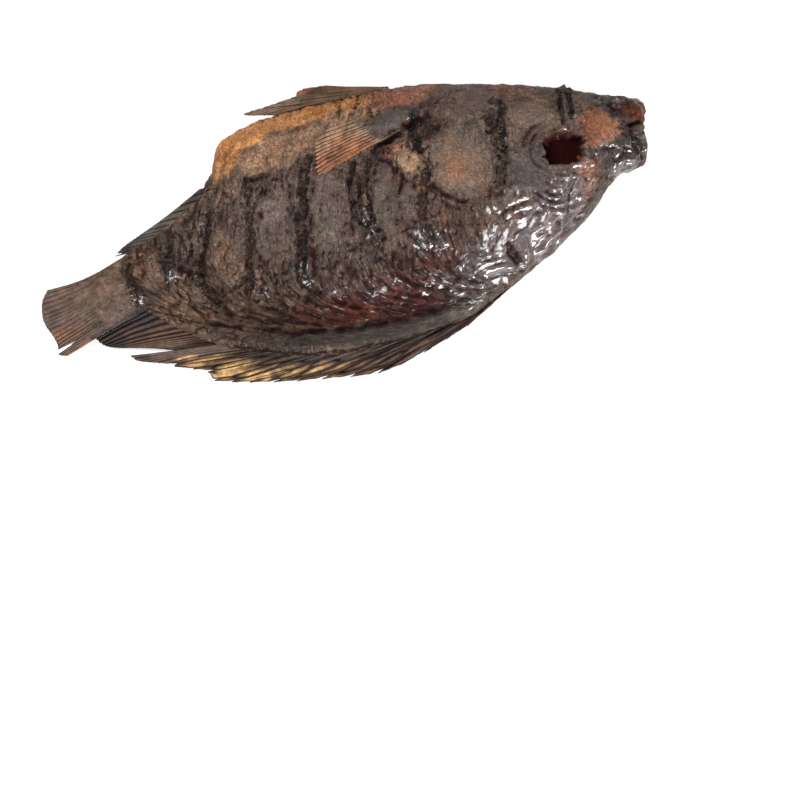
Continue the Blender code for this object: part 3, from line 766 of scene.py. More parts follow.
def skinFields(grid, upperGrid):
    # relief in millimetres, tint and the other things the skin's material reads, for every point of the grid
    X, Y, Z = grid[..., 0], grid[..., 1], grid[..., 2]
    x, y = leaning(X, Y, Z)
    below = upperGrid < 0
    warpX = x + 3.4 * cloud(X, Y, Z, 9, 11, 4, 0.65)
    warpY = y + 3.4 * cloud(X, Y, Z, 9, 12, 4, 0.65)
    across, along, away = flowOf(x, y)
    across = across + 2.6 * cloud(X, Y, Z, 14, 13, 2)
    here = ease(-0.25, 0.30, cloud(X, Y, Z, 8, 14, 2))
    there = ease(-0.20, 0.35, cloud(X, Y, Z, 6, 15, 2))

    plates, calm, plateDark = plateRelief(x, y, X, Y, Z)
    belly = spot(x, y, 118, 47.5, 34, 6, 2, 0.4)
    band = spot(x, y, 145, -53.5, 46, 4.5, -4, 0.5)
    calm = np.clip(np.maximum(calm, np.maximum(belly * 0.4, band * 0.8)), 0, 1)
    sleek = np.maximum(spot(x, y, 214, -29, 46, 15, 27, 0.5), 0.6 * spot(x, y, 178, -40, 24, 12, 0, 0.6))
    rough = (1 - calm) * (1 - 0.75 * sleek)
    whole = np.maximum(spot(x, y, 116, 39, 42, 13, 0, 0.5), spot(x, y, 216, 14, 36, 24, -12, 0.5))
    whole = np.maximum(whole, spot(x, y, 192, 38, 34, 12, -14, 0.5))

    relief = 0.7 * cloud(X, Y, Z, 26, 21, 2) + 0.6 * cloud(X, Y, Z, 9, 22, 2) + plates
    leather = cloud(X, Y, Z, 7.0, 31, 3, 0.55)
    finer = cloud(X, Y, Z, 2.4, 32, 2)
    relief = relief + (1.9 * np.abs(leather) + 0.35 * np.abs(finer) - 0.45) * rough * (1 - 0.65 * whole)
    relief = relief + 0.35 * (np.abs(finer) - 0.2) * spot(x, y, 118, 38, 44, 12, 0, 0.5)
    cracks = creaseLines(leather, 0.05, here * rough * (1 - 0.9 * whole))

    steep = noise3(across / 4.6, along / 11, Z * 0.04, 41)
    middle = noise3(across / 9.0, along / 20, Z * 0.04, 42)
    swept = noise3(across / 15.0, along / 30, Z * 0.04, 43)
    tailwards = 1 - 0.8 * ease(178, 198, x)
    steepZone = ease(9, 18, away) * tailwards * rough
    middleZone = ease(2, 8, away) * tailwards * rough
    sweptZone = (1 - ease(12, 26, away)) * ease(-3, 1, away) * tailwards
    relief = relief + (1.2 * np.abs(steep) - 0.3) * steepZone + (1.5 * np.abs(middle) - 0.4) * middleZone
    relief = relief + (2.4 * np.abs(swept) - 0.7) * sweptZone
    cracks = np.maximum(cracks, creaseLines(steep, 0.07, there * steepZone * (1 - 0.9 * whole)))
    cracks = np.maximum(cracks, creaseLines(middle, 0.05, here * middleZone * (1 - 0.9 * whole)))
    cracks = np.maximum(cracks, creaseLines(swept, 0.08, (0.4 + 0.6 * there) * sweptZone))
    streaks = np.abs(noise3(x / 16, (y + 0.08 * x) / 2.4, Z * 0.1, 44)) * band
    relief = relief + 0.7 * streaks

    scales = scaleRelief(x + 0.35 * y + 1.2 * cloud(X, Y, Z, 12, 51, 2), y - 0.1 * x + cloud(X, Y, Z, 12, 52, 2))
    scaly = spot(x, y, 84, -28, 36, 12, -30, 0.6) + 0.8 * spot(x, y, 60, -12, 14, 16, 0, 0.6)
    scaly = np.clip(scaly + 0.5 * spot(x, y, 90, 12, 34, 26, 0, 0.5) + 0.6 * spot(x, y, 168, 15, 5, 7, 0, 0.4), 0, 1)
    relief = relief + 0.60 * scaly * scales

    relief = relief + foldRelief(x, y, X, Y, Z) * (1 - 0.7 * calm)
    for centreX, centreY, reachX, reachY, degrees, height in skinLumps:
        relief = relief + height * spot(warpX, warpY, centreX, centreY, reachX, reachY, degrees, 0.7)
    grooves, grooveDark = grooveRelief(x, y, X, Y, Z)
    relief = relief + grooves - 0.55 * cracks + ridgeRelief(x, y, X, Y, Z)
    burnt, bars = barMarks(x - np.where(below, barsBelow, 0.0), y, X, Y, Z)
    relief = relief + bars
    hole, eye, ringDark = eyeRelief(x, y, X, Y, Z)
    relief = relief * (1 - hole) + eye
    relief = (relief - 0.35) * np.where(below, 0.7, 1.0)

    patchy = [cloud(X, Y, Z, 6, 61, 3, 0.7), cloud(X, Y, Z, 4, 62, 3, 0.7), cloud(X, Y, Z, 9, 63, 4, 0.7)]
    tint = paint(warpX, warpY, "skin", trunkDaubs, patchy)
    warmth = (0.40 * cloud(X, Y, Z, 7, 64, 4, 0.7))[..., None]
    depth = (0.42 * cloud(X, Y, Z, 5, 65, 4, 0.7) + 0.30 * cloud(across, along, Z, 9, 66, 2))[..., None]
    quiet = (1 - 0.55 * calm)[..., None]
    tint = tint * (1 + warmth * quiet * np.array([0.45, -0.10, -0.55])) * np.exp(1.1 * depth * quiet)
    wet = np.zeros(np.shape(x))
    for centreX, centreY, reachX, reachY, degrees, wetness in wetPlaces:
        wet = np.maximum(wet, wetness * spot(warpX, warpY, centreX, centreY, reachX, reachY, degrees, 0.6))
    # painted shade and painted highlight: this field is high where the relief sinks below its blurred self (hollows,
    # grooves, crack lines, plate outlines, the troughs between the eye's rings) and low where it rises above it; the
    # skin's material paints the high places darker and the low places lighter
    fineDip = (blurred(relief, 2) - relief) / 0.22
    broadDip = (blurred(relief, 14) - relief) / 0.80
    hollow = np.clip(0.5 * fineDip + 0.7 * broadDip, -1, 1) * (1 - 0.6 * whole)
    hollow = np.maximum(hollow, np.maximum(grooveDark, 0.5 * ringDark))
    hollow = np.maximum(hollow, np.maximum(0.75 * cracks, 0.45 * plateDark))
    return {"relief": relief, "tint": tint, "burnt": burnt, "wet": wet, "hollow": hollow, "hole": hole,
            "flow": np.stack([across, along, Z], -1), "calm": calm,
            "swept": (0.42 + 0.58 * (1 - ease(16, 42, away)) * tailwards) * (1 - 0.8 * whole)}


def skinMaterial():
    graph = Graph("smokedSkin")
    tint = graph.node("ShaderNodeAttribute", {"attribute_name": "tint"}, output="Color")
    state = graph.node("ShaderNodeAttribute", {"attribute_name": "state"}, output="Color")
    burnt, wet, hollow = (graph.node("ShaderNodeSeparateColor", None, {0: state}, output=i) for i in range(3))
    hole = graph.attribute("hole")
    calm = graph.attribute("calm")
    swept = graph.attribute("swept")
    flow = graph.node("ShaderNodeAttribute", {"attribute_name": "flow"}, output="Vector")
    alongFine = graph.node("ShaderNodeVectorMath", {"operation": "MULTIPLY"}, {0: flow, 1: (0.9, 0.14, 0.3)})
    alongBroad = graph.node("ShaderNodeVectorMath", {"operation": "MULTIPLY"}, {0: flow, 1: (0.30, 0.045, 0.1)})
    rough = 1.0 - calm * 0.75

    broad = graph.noise(190, 4, 0.6)
    fine = graph.noise(620, 4, 0.65)
    grain = graph.noise(1700, 2, 0.6)
    streak = graph.noise(1.0, 4, 0.6, alongFine)
    sweep = graph.noise(1.0, 3, 0.55, alongBroad)
    blotch = graph.noise(95, 4, 0.62)
    coal = graph.noise(260, 2.0, 0.5)

    mottle = graph.span(broad, 0.36, 0.64, 0.72, 1.30) * graph.span(fine, 0.36, 0.64, 0.84, 1.18)
    mottle = mottle * ((graph.span(streak, 0.36, 0.64, 0.80, 1.22) - 1.0) * (0.2 + swept * 0.8) + 1.0)
    mottle = (mottle - 1.0) * rough + 1.0
    shade = graph.node("ShaderNodeCombineColor", None, {0: mottle, 1: mottle, 2: mottle})
    warm = graph.span(blotch, 0.42, 0.66)
    base = graph.mix(warm * 0.22, tint, graph.mix(1.0, tint, (1.25, 0.90, 0.74, 1.0), "MULTIPLY"))
    base = graph.mix(1.0, base, shade, "MULTIPLY")
    flecks = graph.span(graph.noise(820, 4, 0.75), 0.58, 0.72)
    base = graph.mix(flecks * 0.14 * rough, base, colour(tints["cream"] * 0.8))
    # painted shade along fine creases: the crack, seam and fibre lines are cut into the bump below as grooves and
    # painted dark wine here
    crack = graph.line(graph.noise(420, 3, 0.55, distortion=0.6), 0.5, 0.04)
    base = graph.mix(crack * 0.46 * rough, base, colour(tints["wine"] * 0.4))
    seam = graph.line(sweep, 0.5, 0.030) * graph.span(broad + (fine - 0.5) * 0.5, 0.40, 0.52) * rough * swept
    base = graph.mix(seam * 0.75, base, colour(tints["wine"] * 0.35))
    fibre = graph.line(streak, 0.46, 0.035) * graph.span(broad, 0.42, 0.56) * rough * (0.25 + swept * 0.75)
    base = graph.mix(fibre * 0.60, base, colour(tints["wine"] * 0.4))
    pits = graph.span(graph.noise(950, 3, 0.7), 0.30, 0.40, 1.0, 0.0)
    base = graph.mix(pits * 0.20 * rough, base, colour(tints["umber"] * 0.4))
    # painted shade: the hollows of the relief are painted a dark wine-brown
    hollowShade = graph.span(hollow + (fine - 0.5) * 0.35, 0.55, 0.90)
    base = graph.mix(hollowShade * 0.88, base, colour(tints["wine"] * np.array([0.42, 0.26, 0.22])))
    # painted highlight: the raised parts of the relief are painted lighter
    crest = graph.span(hollow + (fine - 0.5) * 0.30, 0.46, 0.05)
    base = graph.mix(crest * 0.55, base, graph.mix(1.0, base, (1.55, 1.50, 1.45, 1.0), "MULTIPLY"))
    scorched = graph.span(burnt + (fine - 0.5) * 0.5, 0.25, 0.38)
    crust = graph.mix(graph.span(coal, 0.42, 0.58), colour(tints["umber"] * 0.6), colour(tints["dun"] * 0.9))
    crust = graph.mix(graph.span(broad, 0.46, 0.60) * 0.45, crust, colour(tints["wine"] * 1.1))
    base = graph.mix(scorched * 0.74, base, crust)
    ragged = graph.span(burnt + (coal - 0.5) * 1.5 + (fine - 0.5) * 0.45, 0.52, 0.58)
    base = graph.mix(ragged * 0.95, base, colour(tints["soot"] * 0.50))
    base = graph.mix(graph.span(hole, 0.2, 0.6), base, colour(tints["wine"] * np.array([0.75, 0.15, 0.15])))
    graph.plug(graph.shader.inputs["Base Color"], base)

    gloss = graph.span(
        wet * 0.95 + (blotch - 0.5) * 1.5 + (broad - 0.5) * 1.1 + (streak - 0.5) * 0.7 + crest * 0.25, 0.44, 0.80)
    dull = 0.58 - gloss * 0.30 + (grain - 0.5) * 0.25 + hollowShade * 0.2 + hole * 0.4
    graph.plug(graph.shader.inputs["Roughness"], dull)
    graph.plug(graph.shader.inputs["Coat Weight"], (0.02 + gloss * 0.98) * (1.0 - hole) * (1.0 - hollowShade * 0.7))
    graph.shader.inputs["Coat Roughness"].default_value = 0.20
    graph.shader.inputs["Coat IOR"].default_value = 1.7
    graph.shader.inputs["Specular IOR Level"].default_value = 0.15

    height = fine * 0.6 + grain * 0.25 + graph.noise(330, 4, 0.6) * 1.1 + streak * 0.6 - crack * 0.35 - seam * 0.9 - fibre * 0.5
    height = (height + scorched * coal * 2.6) * (1.0 - graph.span(wet, 0.75, 1.0) * 0.55)
    graph.plug(graph.shader.inputs["Normal"], graph.bump(height, 0.95, 0.0011))
    return graph.material


def paintVertices(mesh, name, values):
    # stores one number or one colour for every vertex
    values = np.asarray(values, np.float32)
    if values.ndim == 1:
        layer = mesh.attributes.new(name, "FLOAT", "POINT")
        layer.data.foreach_set("value", values)
    else:
        layer = mesh.attributes.new(name, "FLOAT_COLOR", "POINT")
        full = np.ones((len(values), 4), np.float32)
        full[:, :3] = values
        layer.data.foreach_set("color", full.ravel())


def addPiece(mesh, name):
    piece = bpy.data.objects.new(name, mesh)
    bpy.context.scene.collection.objects.link(piece)
    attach(piece, "root")
    return piece


def evenShares(count):
    # shares of the trunk whose rings lie evenly spaced along it, closer where it narrows to the lips
    share = np.linspace(0, 1, 3001)
    row = readCurve(trunkSections, share)
    middleX, middleY = (row[:, 0] + row[:, 2]) / 2, (row[:, 1] + row[:, 3]) / 2
    half = np.hypot(row[:, 2] - row[:, 0], row[:, 3] - row[:, 1]) / 2
    steps = np.hypot(np.diff(middleX), np.diff(middleY)) + 0.6 * np.abs(np.diff(half)) + 0.002
    length = np.concatenate([[0], np.cumsum(steps)])
    return np.interp(np.linspace(0, length[-1], count), length, share)


def makeTrunk():
    around, along = trunk["around"], trunk["along"]
    shape = bmesh.new()
    bmesh.ops.create_uvsphere(shape, u_segments=around, v_segments=along, radius=1.0)
    mesh = bpy.data.meshes.new("trunk")
    shape.to_mesh(mesh)
    shape.free()
    sphere = np.empty(len(mesh.vertices) * 3)
    mesh.vertices.foreach_get("co", sphere)
    sphere = sphere.reshape(-1, 3)
    ring = np.rint((1 - np.arccos(np.clip(sphere[:, 2], -1, 1)) / math.pi) * along).astype(int)
    turn = np.rint(np.arctan2(sphere[:, 1], sphere[:, 0]) / math.tau * around).astype(int) % around

    # the grid of rings and turns, from which every vertex takes its place
    t = np.arange(around) / around
    top = t < trunk["upperShare"]
    half = np.where(top, t / trunk["upperShare"], (t - trunk["upperShare"]) / (1 - trunk["upperShare"]))
    across = (1 - trunk["evenness"]) * np.cos(math.pi * half) + trunk["evenness"] * (1 - 2 * half)
    across = np.where(top, across, -across)
    shareGrid, acrossGrid = np.meshgrid(evenShares(along + 1), across, indexing="ij")
    upperGrid = np.where(top, 1.0, -1.0)[None, :] + 0 * shareGrid
    grid = trunkSurface(shareGrid, acrossGrid, upperGrid)
    grid[0] = grid[0].mean(0)
    grid[-1] = grid[-1].mean(0)

    fields = skinFields(grid, upperGrid)
    lengthwise = np.gradient(grid, axis=0)
    crosswise = np.roll(grid, -1, 1) - np.roll(grid, 1, 1)
    normal = np.cross(crosswise, lengthwise)
    normal = normal / np.maximum(np.linalg.norm(normal, axis=-1, keepdims=True), 1e-9)
    normal = normal * np.sign(np.sum(normal * (grid - np.array([150, 0, 15.5])), -1, keepdims=True).mean())
    fade = ease(0.0, 0.03, shareGrid) * ease(0.0, 0.012, 1 - shareGrid)
    grid = grid + normal * (fields["relief"] * fade)[..., None]
    grid[..., 2] = np.maximum(grid[..., 2], 0.0)

    mesh.vertices.foreach_set("co", toWorld(grid[ring, turn]).astype(np.float32).ravel())
    mesh.update()
    mesh.shade_smooth()
    paintVertices(mesh, "tint", fields["tint"][ring, turn])
    # the third channel carries the painted shade and painted highlight of the relief
    state = np.stack([fields["burnt"], fields["wet"], 0.5 + 0.5 * fields["hollow"]], -1)
    paintVertices(mesh, "state", state[ring, turn])
    paintVertices(mesh, "hole", fields["hole"][ring, turn])
    paintVertices(mesh, "calm", fields["calm"][ring, turn])
    paintVertices(mesh, "swept", fields["swept"][ring, turn])
    paintVertices(mesh, "flow", fields["flow"][ring, turn])
    mesh.materials.append(skinMaterial())
    piece = addPiece(mesh, "trunk")
    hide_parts("smoked_fish")
    return piece


body = makeTrunk()
print("trunk made")


# ---- the fins ----

# Each fin lies between a curve of roots, inside the trunk, and a curve of tips, both told from the drawing's x, y
# and the height z. "tears" are places where the blade is split: share along the fin, width, depth; "bare" is the share
# of the blade, from the root, over which skin hides the rays.
fins = {
    "tailFin": {
        "roots": [(42, 12.4, 9.9), (46, 5.0, 10.4), (47, -4.0, 10.4), (45, -13.0, 9.8)],
        "tips": [(4.5, 7.0, 10.4), (1.0, 2.8, 10.0), (-0.6, -3.5, 9.6), (-0.2, -8.0, 9.2), (1.6, -13.5, 8.9),
                 (2.2, -17.6, 8.6), (1.4, -20.8, 8.4), (5.0, -22.4, 8.4)],
        "rays": 19, "perRay": 10, "rows": 76, "height": 0.35, "branch": 0.0, "gap": 0.20, "fray": 0.004,
        "tear": 0.006, "bare": 0.72, "bow": -2.2, "faint": 0.55,
        "tears": [(0.80, 0.022, 0.20), (0.835, 0.014, 0.16)], "thick": 0.6, "wave": 0.5, "seed": 3, "swell": 1.7,
        "base": "dusk", "rough": 0.55,
    },
    "softDorsalFin": {
        "roots": [(54, -11.0, 9.2), (64, -27.0, 9.2), (73, -35.0, 9.0), (82, -40.5, 8.8)],
        "tips": [(18.4, -18.9, 6.6), (20.5, -22.4, 6.7), (25.0, -24.8, 6.4), (33, -27.2, 6.2), (41, -29.8, 6.0),
                 (49.5, -33.4, 6.0)],
        "rays": 14, "perRay": 10, "rows": 70, "height": 0.70, "branch": 0.0, "gap": 0.30, "fray": 0.015, "tear": 0.02, "bare": 0.1,
        "tears": [], "thick": 0.5, "wave": 0.6, "seed": 5, "base": "umber", "rough": 0.15,
    },
    "middleDorsalFin": {
        "roots": [(78, -38.0, 10.6), (86, -43.0, 10.4), (94, -47.5, 10.4)],
        "tips": [(30.0, -30.0, 6.4), (32.5, -33.0, 6.4), (38.0, -35.4, 6.5), (46.0, -38.4, 6.6), (48.0, -40.2, 6.8),
                 (55.0, -42.8, 7.0)],
        "rays": 9, "perRay": 12, "rows": 70, "height": 0.70, "branch": 0.0, "gap": 0.24, "fray": 0.02, "tear": 0.02, "bare": 0.1,
        "tears": [(0.62, 0.05, 0.04)], "thick": 0.6, "wave": 0.6, "seed": 8, "base": "dusk", "rough": 0.15,
    },
    "analFin": {
        "roots": [(52, 12.6, 9.4), (66, 18.0, 9.6), (88, 29.5, 10.6)],
        "tips": [(36.2, 12.8, 9.6), (40.5, 15.6, 9.4), (50.0, 19.0, 9.4), (64.0, 24.0, 9.8), (79.0, 30.4, 10.4)],
        "rays": 11, "perRay": 9, "rows": 34, "height": 0.25, "branch": 0.1, "fray": 0.01, "tear": 0.015, "bare": 0.35,
        "tears": [(0.07, 0.03, 0.16)], "thick": 0.5, "wave": 0.3, "seed": 14, "gap": 0.12, "base": "slate", "rough": 0.1,
    },
    "nearPelvicFin": {
        "roots": [(163, 49.0, 22.8), (167, 48.6, 23.2)],
        "tips": [(118.0, 51.6, 20.8), (106.5, 55.4, 20.8), (118.0, 56.0, 20.6), (131.5, 56.6, 20.2)],
        "rays": 7, "perRay": 9, "rows": 60, "height": 0.45, "branch": 0.4, "fray": 0.01, "tear": 0.02, "bare": 0.0,
        "tears": [], "thick": 0.6, "wave": 0.4, "seed": 17, "base": "bark", "rough": 0.2,
    },
    "farPelvicFin": {
        "roots": [(166, 49.6, 20.8), (170, 49.0, 20.0)],
        "tips": [(134.0, 55.4, 17.4), (130.6, 57.6, 17.0), (134.0, 59.2, 16.6), (144.0, 57.8, 16.8)],
        "rays": 5, "perRay": 10, "rows": 48, "height": 0.45, "branch": 0.4, "fray": 0.01, "tear": 0.02, "bare": 0.0,
        "tears": [], "thick": 0.6, "wave": 0.4, "seed": 19, "base": "bark", "rough": 0.2,
    },
    "pectoralFin": {
        "roots": [(166, 28.4, 0.2), (176, 31.0, -0.6), (174, 38.5, -0.8)],
        "tips": [(150.0, 25.4, 0.60), (138.0, 21.4, 0.60), (127.8, 19.8, 0.55), (127.8, 24.5, 0.50),
                 (128.8, 29.5, 0.50), (130.5, 34.0, 0.45), (136.0, 39.0, 0.35)],
        "rays": 16, "perRay": 9, "rows": 60, "height": 0.60, "branch": 0.2, "fray": 0.11, "tear": 0.07, "bare": 0.16,
        "tears": [], "thick": 0.35, "wave": 0.15, "seed": 23, "lies": True, "base": "tan", "rough": 0.1,
    },
    "lowerPectoralFin": {
        "roots": [(166, 28.4, 0.2), (176, 31.0, -0.6), (174, 38.5, -0.8)],
        "tips": [(150.0, 25.4, 0.60), (138.0, 21.4, 0.60), (127.8, 19.8, 0.55), (127.8, 24.5, 0.50),
                 (128.8, 29.5, 0.50), (130.5, 34.0, 0.45), (136.0, 39.0, 0.35)],
        "rays": 13, "perRay": 7, "rows": 40, "height": 0.40, "branch": 0.6, "fray": 0.03, "tear": 0.02, "bare": 0.30,
        "tears": [], "thick": 0.35, "wave": 0.15, "seed": 27, "lies": True, "base": "tan", "rough": 0.1, "under": True,
    },
}
finDaubs = [
    (24, 5, 14, 4, 0, "bark", 0.5), (22, -5, 14, 8, 0, "dun", 0.2), (20, 10, 20, 3, 4, "dusk", 0.6),
    (39.5, -3, 4, 12, 0, "umber", 0.8),
    (7, -13, 11, 4.0, 0, "toast", 0.30), (16, -15, 5, 2.4, 20, "bark", 0.5), (11, -20.5, 10, 2.2, 8, "brick", 0.45),
    (5, -20.6, 6, 2.4, 8, "dusk", 0.6), (6, 2, 8, 6, 0, "dusk", 0.35),
    (30, -16.5, 13, 2.6, 14, "soot", 0.90), (42, -13.0, 6, 2.6, 20, "soot", 0.8), (12, -7, 8, 3, 0, "dun", 0.5), (37, 10, 7, 3, 14, "bark", 0.6),
    (25, -21.5, 9, 4.4, -18, "soot", 0.95), (40, -17.5, 14, 2.4, 0, "soot", 0.8), (44, -26, 12, 6, -12, "tan", 0.12),
    (50, -31, 8, 2.4, -14, "dun", 0.60), (54, -38, 6, 1.2, -6, "gold", 0.45), (62, -41.2, 10, 1.2, -5, "gold", 0.8),
    (18, 2, 22, 9, 0, "bark", 0.45), (16, -8, 18, 9, 0, "umber", 0.24), (40, 14.6, 5, 2, 10, "soot", 0.6), (60, 20, 18, 3.4, 22, "sage", 0.60),
    (134, 58, 5, 1.4, 0, "apricot", 0.8), (122, 55, 16, 2.0, 2, "olive", 0.6), (150, 53.6, 12, 1.6, -14, "toast", 0.35),
    (142, 27, 18, 8, 14, "apricot", 0.80), (140, 28, 14, 8, 0, "toast", 0.30), (133, 33, 9, 7, 0, "tan", 0.6),
    (152, 34, 9, 4, 0, "olive", 0.4),
    (168.5, 34.5, 8.5, 6.4, 0, "stone", 1.0), (162, 30.0, 4, 2.0, 10, "stone", 0.6),
]


def finMaterial():
    graph = Graph("smokedFin")
    tint = graph.node("ShaderNodeAttribute", {"attribute_name": "tint"}, output="Color")
    ray = graph.attribute("ray")
    leather = graph.attribute("leather")
    broad = graph.noise(190, 4, 0.6)
    fine = graph.noise(800, 4, 0.65)
    # the rays are painted lighter than the sunk grooves between them: painted highlight and painted shade
    mottle = (0.62 + ray * 0.48) * graph.span(broad, 0.34, 0.66, 0.72, 1.30) * graph.span(fine, 0.34, 0.66, 0.78, 1.24)
    shade = graph.node("ShaderNodeCombineColor", None, {0: mottle, 1: mottle, 2: mottle})
    base = graph.mix(1.0, tint, shade, "MULTIPLY")
    # painted highlight along the raised rays
    crest = graph.span(ray + (fine - 0.5) * 0.6, 0.80, 1.15)
    base = graph.mix(crest * 0.35, base, graph.mix(1.0, tint, (1.5, 1.35, 1.2, 1.0), "MULTIPLY"))
    # painted shade in the sunk grooves between the rays and along the blades' overlapping edges
    gap = graph.span(ray + (fine - 0.5) * 0.30, 0.62, 0.22)
    base = graph.mix(gap * 0.92, base, colour(tints["wine"] * 0.30))
    pits = graph.span(graph.noise(600, 3, 0.7), 0.30, 0.42, 1.0, 0.0)
    base = graph.mix(pits * 0.5, base, colour(tints["umber"] * 0.35))
    graph.plug(graph.shader.inputs["Base Color"], base)
    graph.plug(graph.shader.inputs["Roughness"], 0.50 + (fine - 0.5) * 0.4)
    graph.shader.inputs["Specular IOR Level"].default_value = 0.18
    height = ray * 0.8 + fine * 0.8 + graph.noise(1700, 2, 0.6) * 0.3 + leather * graph.noise(330, 3, 0.6) * 1.5
    graph.plug(graph.shader.inputs["Normal"], graph.bump(height, 0.7, 0.0006))
    return graph.material


def fromLeaning(u, v, z):
    # the drawing's x, y at a height, back to the fish's own x, y
    rise = z - trunk["waist"] - 0.5
    y = (v - 0.199 * rise) / 0.980
    return (u - 0.060 * rise + 0.012 * y) / 0.998, y


def newGrid(name, columns, rows):
    # a grid and its two coordinates, each from 0 to 1
    shape = bmesh.new()
    bmesh.ops.create_grid(shape, x_segments=columns, y_segments=rows, size=1.0)
    mesh = bpy.data.meshes.new(name)
    shape.to_mesh(mesh)
    shape.free()
    flat = np.empty(len(mesh.vertices) * 3)
    mesh.vertices.foreach_get("co", flat)
    flat = flat.reshape(-1, 3)
    return mesh, (flat[:, 0] + 1) / 2, (flat[:, 1] + 1) / 2


def thicken(piece, thickness):
    wall = piece.modifiers.new("wall", "SOLIDIFY")
    wall.thickness = thickness * unit
    wall.offset = 0.0


def makeFin(name, look, material, skinHeight):
    mesh, u, w = newGrid(name, look["rays"] * look["perRay"], look["rows"])
    seed = look["seed"]
    waver = 0.25 * noise3(u * look["rays"] * 0.35, w * 2.5, seed * 1.3, seed + 5)
    place = np.clip(u * look["rays"] + waver * w, 0, look["rays"] - 1e-6)
    index = np.floor(place)
    f = place - index
    luck = noise3(index * 1.7 + 0.3, seed * 2.3 + 0.6, 0.4, seed) * 0.5 + 0.5

    root, tip = readCurve(look["roots"], u), readCurve(look["tips"], u)
    between = np.abs(f - 0.5) * 2
    short = look["fray"] * luck + look["tear"] * between ** 2 * (0.4 + 0.9 * (1 - luck))
    for at, wide, deep in look["tears"]:
        short = short + deep * np.exp(-((u - at) / wide) ** 4)
    w = w * (1 - np.clip(short, 0, 0.85))
    point = root + (tip - root) * w[:, None]
    point[:, 1] += look.get("bow", 0) * np.sin(math.pi * w) * (1 - u) ** 2
    bow = 0.05 * np.linalg.norm(tip - root, axis=1) * np.sin(math.pi * w) * noise3(u * 3, seed, 0.5, seed + 1)
    point[:, 1] += bow

    gap = np.exp(-(np.minimum(f, 1 - f) / look.get("gap", 0.17)) ** 2)
    forked = np.exp(-((f - 0.5) / 0.13) ** 2) * ease(0.45, 0.8, w) * look["branch"]
    shown = ease(look["bare"] - 0.25, look["bare"] + 0.2, w + 0.12 * noise3(u * 9, w * 4, 0.2, seed + 7))
    faint = look.get("faint", 1.0)
    # the ray value is 1 on the rays and low in the grooves between them and along their forks; it sinks those grooves
    # below, and the fin's material paints them as shade and the rays as highlight
    ray = 1 - np.maximum(gap, forked) * shown * (faint + (1 - faint) * ease(0.50, 0.62, u))
    thin = 1 - 0.4 * w
    lift = look["height"] * (ray - 1) * thin
    lift = lift + look["wave"] * noise3(point[:, 0] / 13, point[:, 1] / 9, seed, seed + 2)
    swell = look.get("swell", 0) * ease(0.80, 0.45, w) * ease(0.06, 0.30, w) * np.clip(1 - (2 * u - 1) ** 4, 0, 1)
    z = point[:, 2].copy()
    if look.get("lies"):
        x, y = fromLeaning(point[:, 0], point[:, 1], 32.0 + 0 * z)
        skin = np.nan_to_num(skinHeight(x, y, look.get("under")), nan=trunk["waist"])
        z = skin + (z + lift) * (-1 if look.get("under") else 1)
        z = np.maximum(z, 0.2)
    else:
        x, y = fromLeaning(point[:, 0], point[:, 1], z)
        leathery = np.abs(cloud(x, y, z, 4.5, seed + 9, 3, 0.6)) * look["rough"] * 2.5
        z = z + lift + swell + leathery * ease(0.95, 0.6, w)
    mesh.vertices.foreach_set("co", toWorld(np.stack([x, y, z], -1)).astype(np.float32).ravel())
    mesh.update()
    patchy = [cloud(x, y, z, 6, 71, 3, 0.6), cloud(x, y, z, 4, 72, 3, 0.6)]
    tint = paint(point[:, 0] + patchy[0], point[:, 1] + patchy[1], look["base"], finDaubs, patchy)
    blotched = 0.7 * patchy[0] + 0.5 * patchy[1] + (1 - shown) * 0.9 * cloud(x, y, z, 2.2, 73, 2, 0.6)
    paintVertices(mesh, "tint", tint * np.exp(blotched)[:, None])
    paintVertices(mesh, "ray", ray)
    paintVertices(mesh, "leather", 1 - shown)
    mesh.materials.append(material)
    mesh.shade_smooth()
    piece = addPiece(mesh, name)
    thicken(piece, look["thick"])


# The spiny part of the dorsal fin: long blades that lie back over one another. Outline told from the first tip to the
# last, roots under the ridge of the back; both x, y of the drawing and height.
spines = {
    "outline": [(47.6, -40.2, 7.2), (55.0, -43.4, 7.4), (60.6, -46.4, 7.8), (62.4, -50.6, 8.2), (69.0, -53.4, 8.6),
                (77.0, -56.0, 8.8), (86.0, -58.6, 9.2), (96.0, -61.2, 9.8), (107.0, -63.6, 10.6),
                (119.0, -66.2, 11.4), (130.0, -68.0, 12.2), (141.0, -67.2, 13.0), (152.0, -65.0, 13.8),
                (162.0, -62.6, 14.8), (172.0, -59.8, 15.8), (182.0, -55.6, 16.8)],
    "roots": [(92, -46.5, 11.6), (97, -48.0, 12.0), (101, -49.5, 12.3), (105, -51.2, 12.6), (112, -53.0, 12.8),
              (120, -54.6, 13.4), (129, -56.0, 14.0), (140, -57.0, 14.6), (151, -57.6, 15.2), (162, -57.4, 15.8),
              (171, -56.6, 16.2), (178, -55.6, 16.6), (184, -54.0, 17.0), (188, -52.4, 17.3), (191, -51.0, 17.5),
              (194, -49.5, 17.8)],
    "blades": 15, "columns": 24, "rows": 90, "reach": 1.25, "step": 1.5, "thick": 0.45, "ridges": 1.7,
}


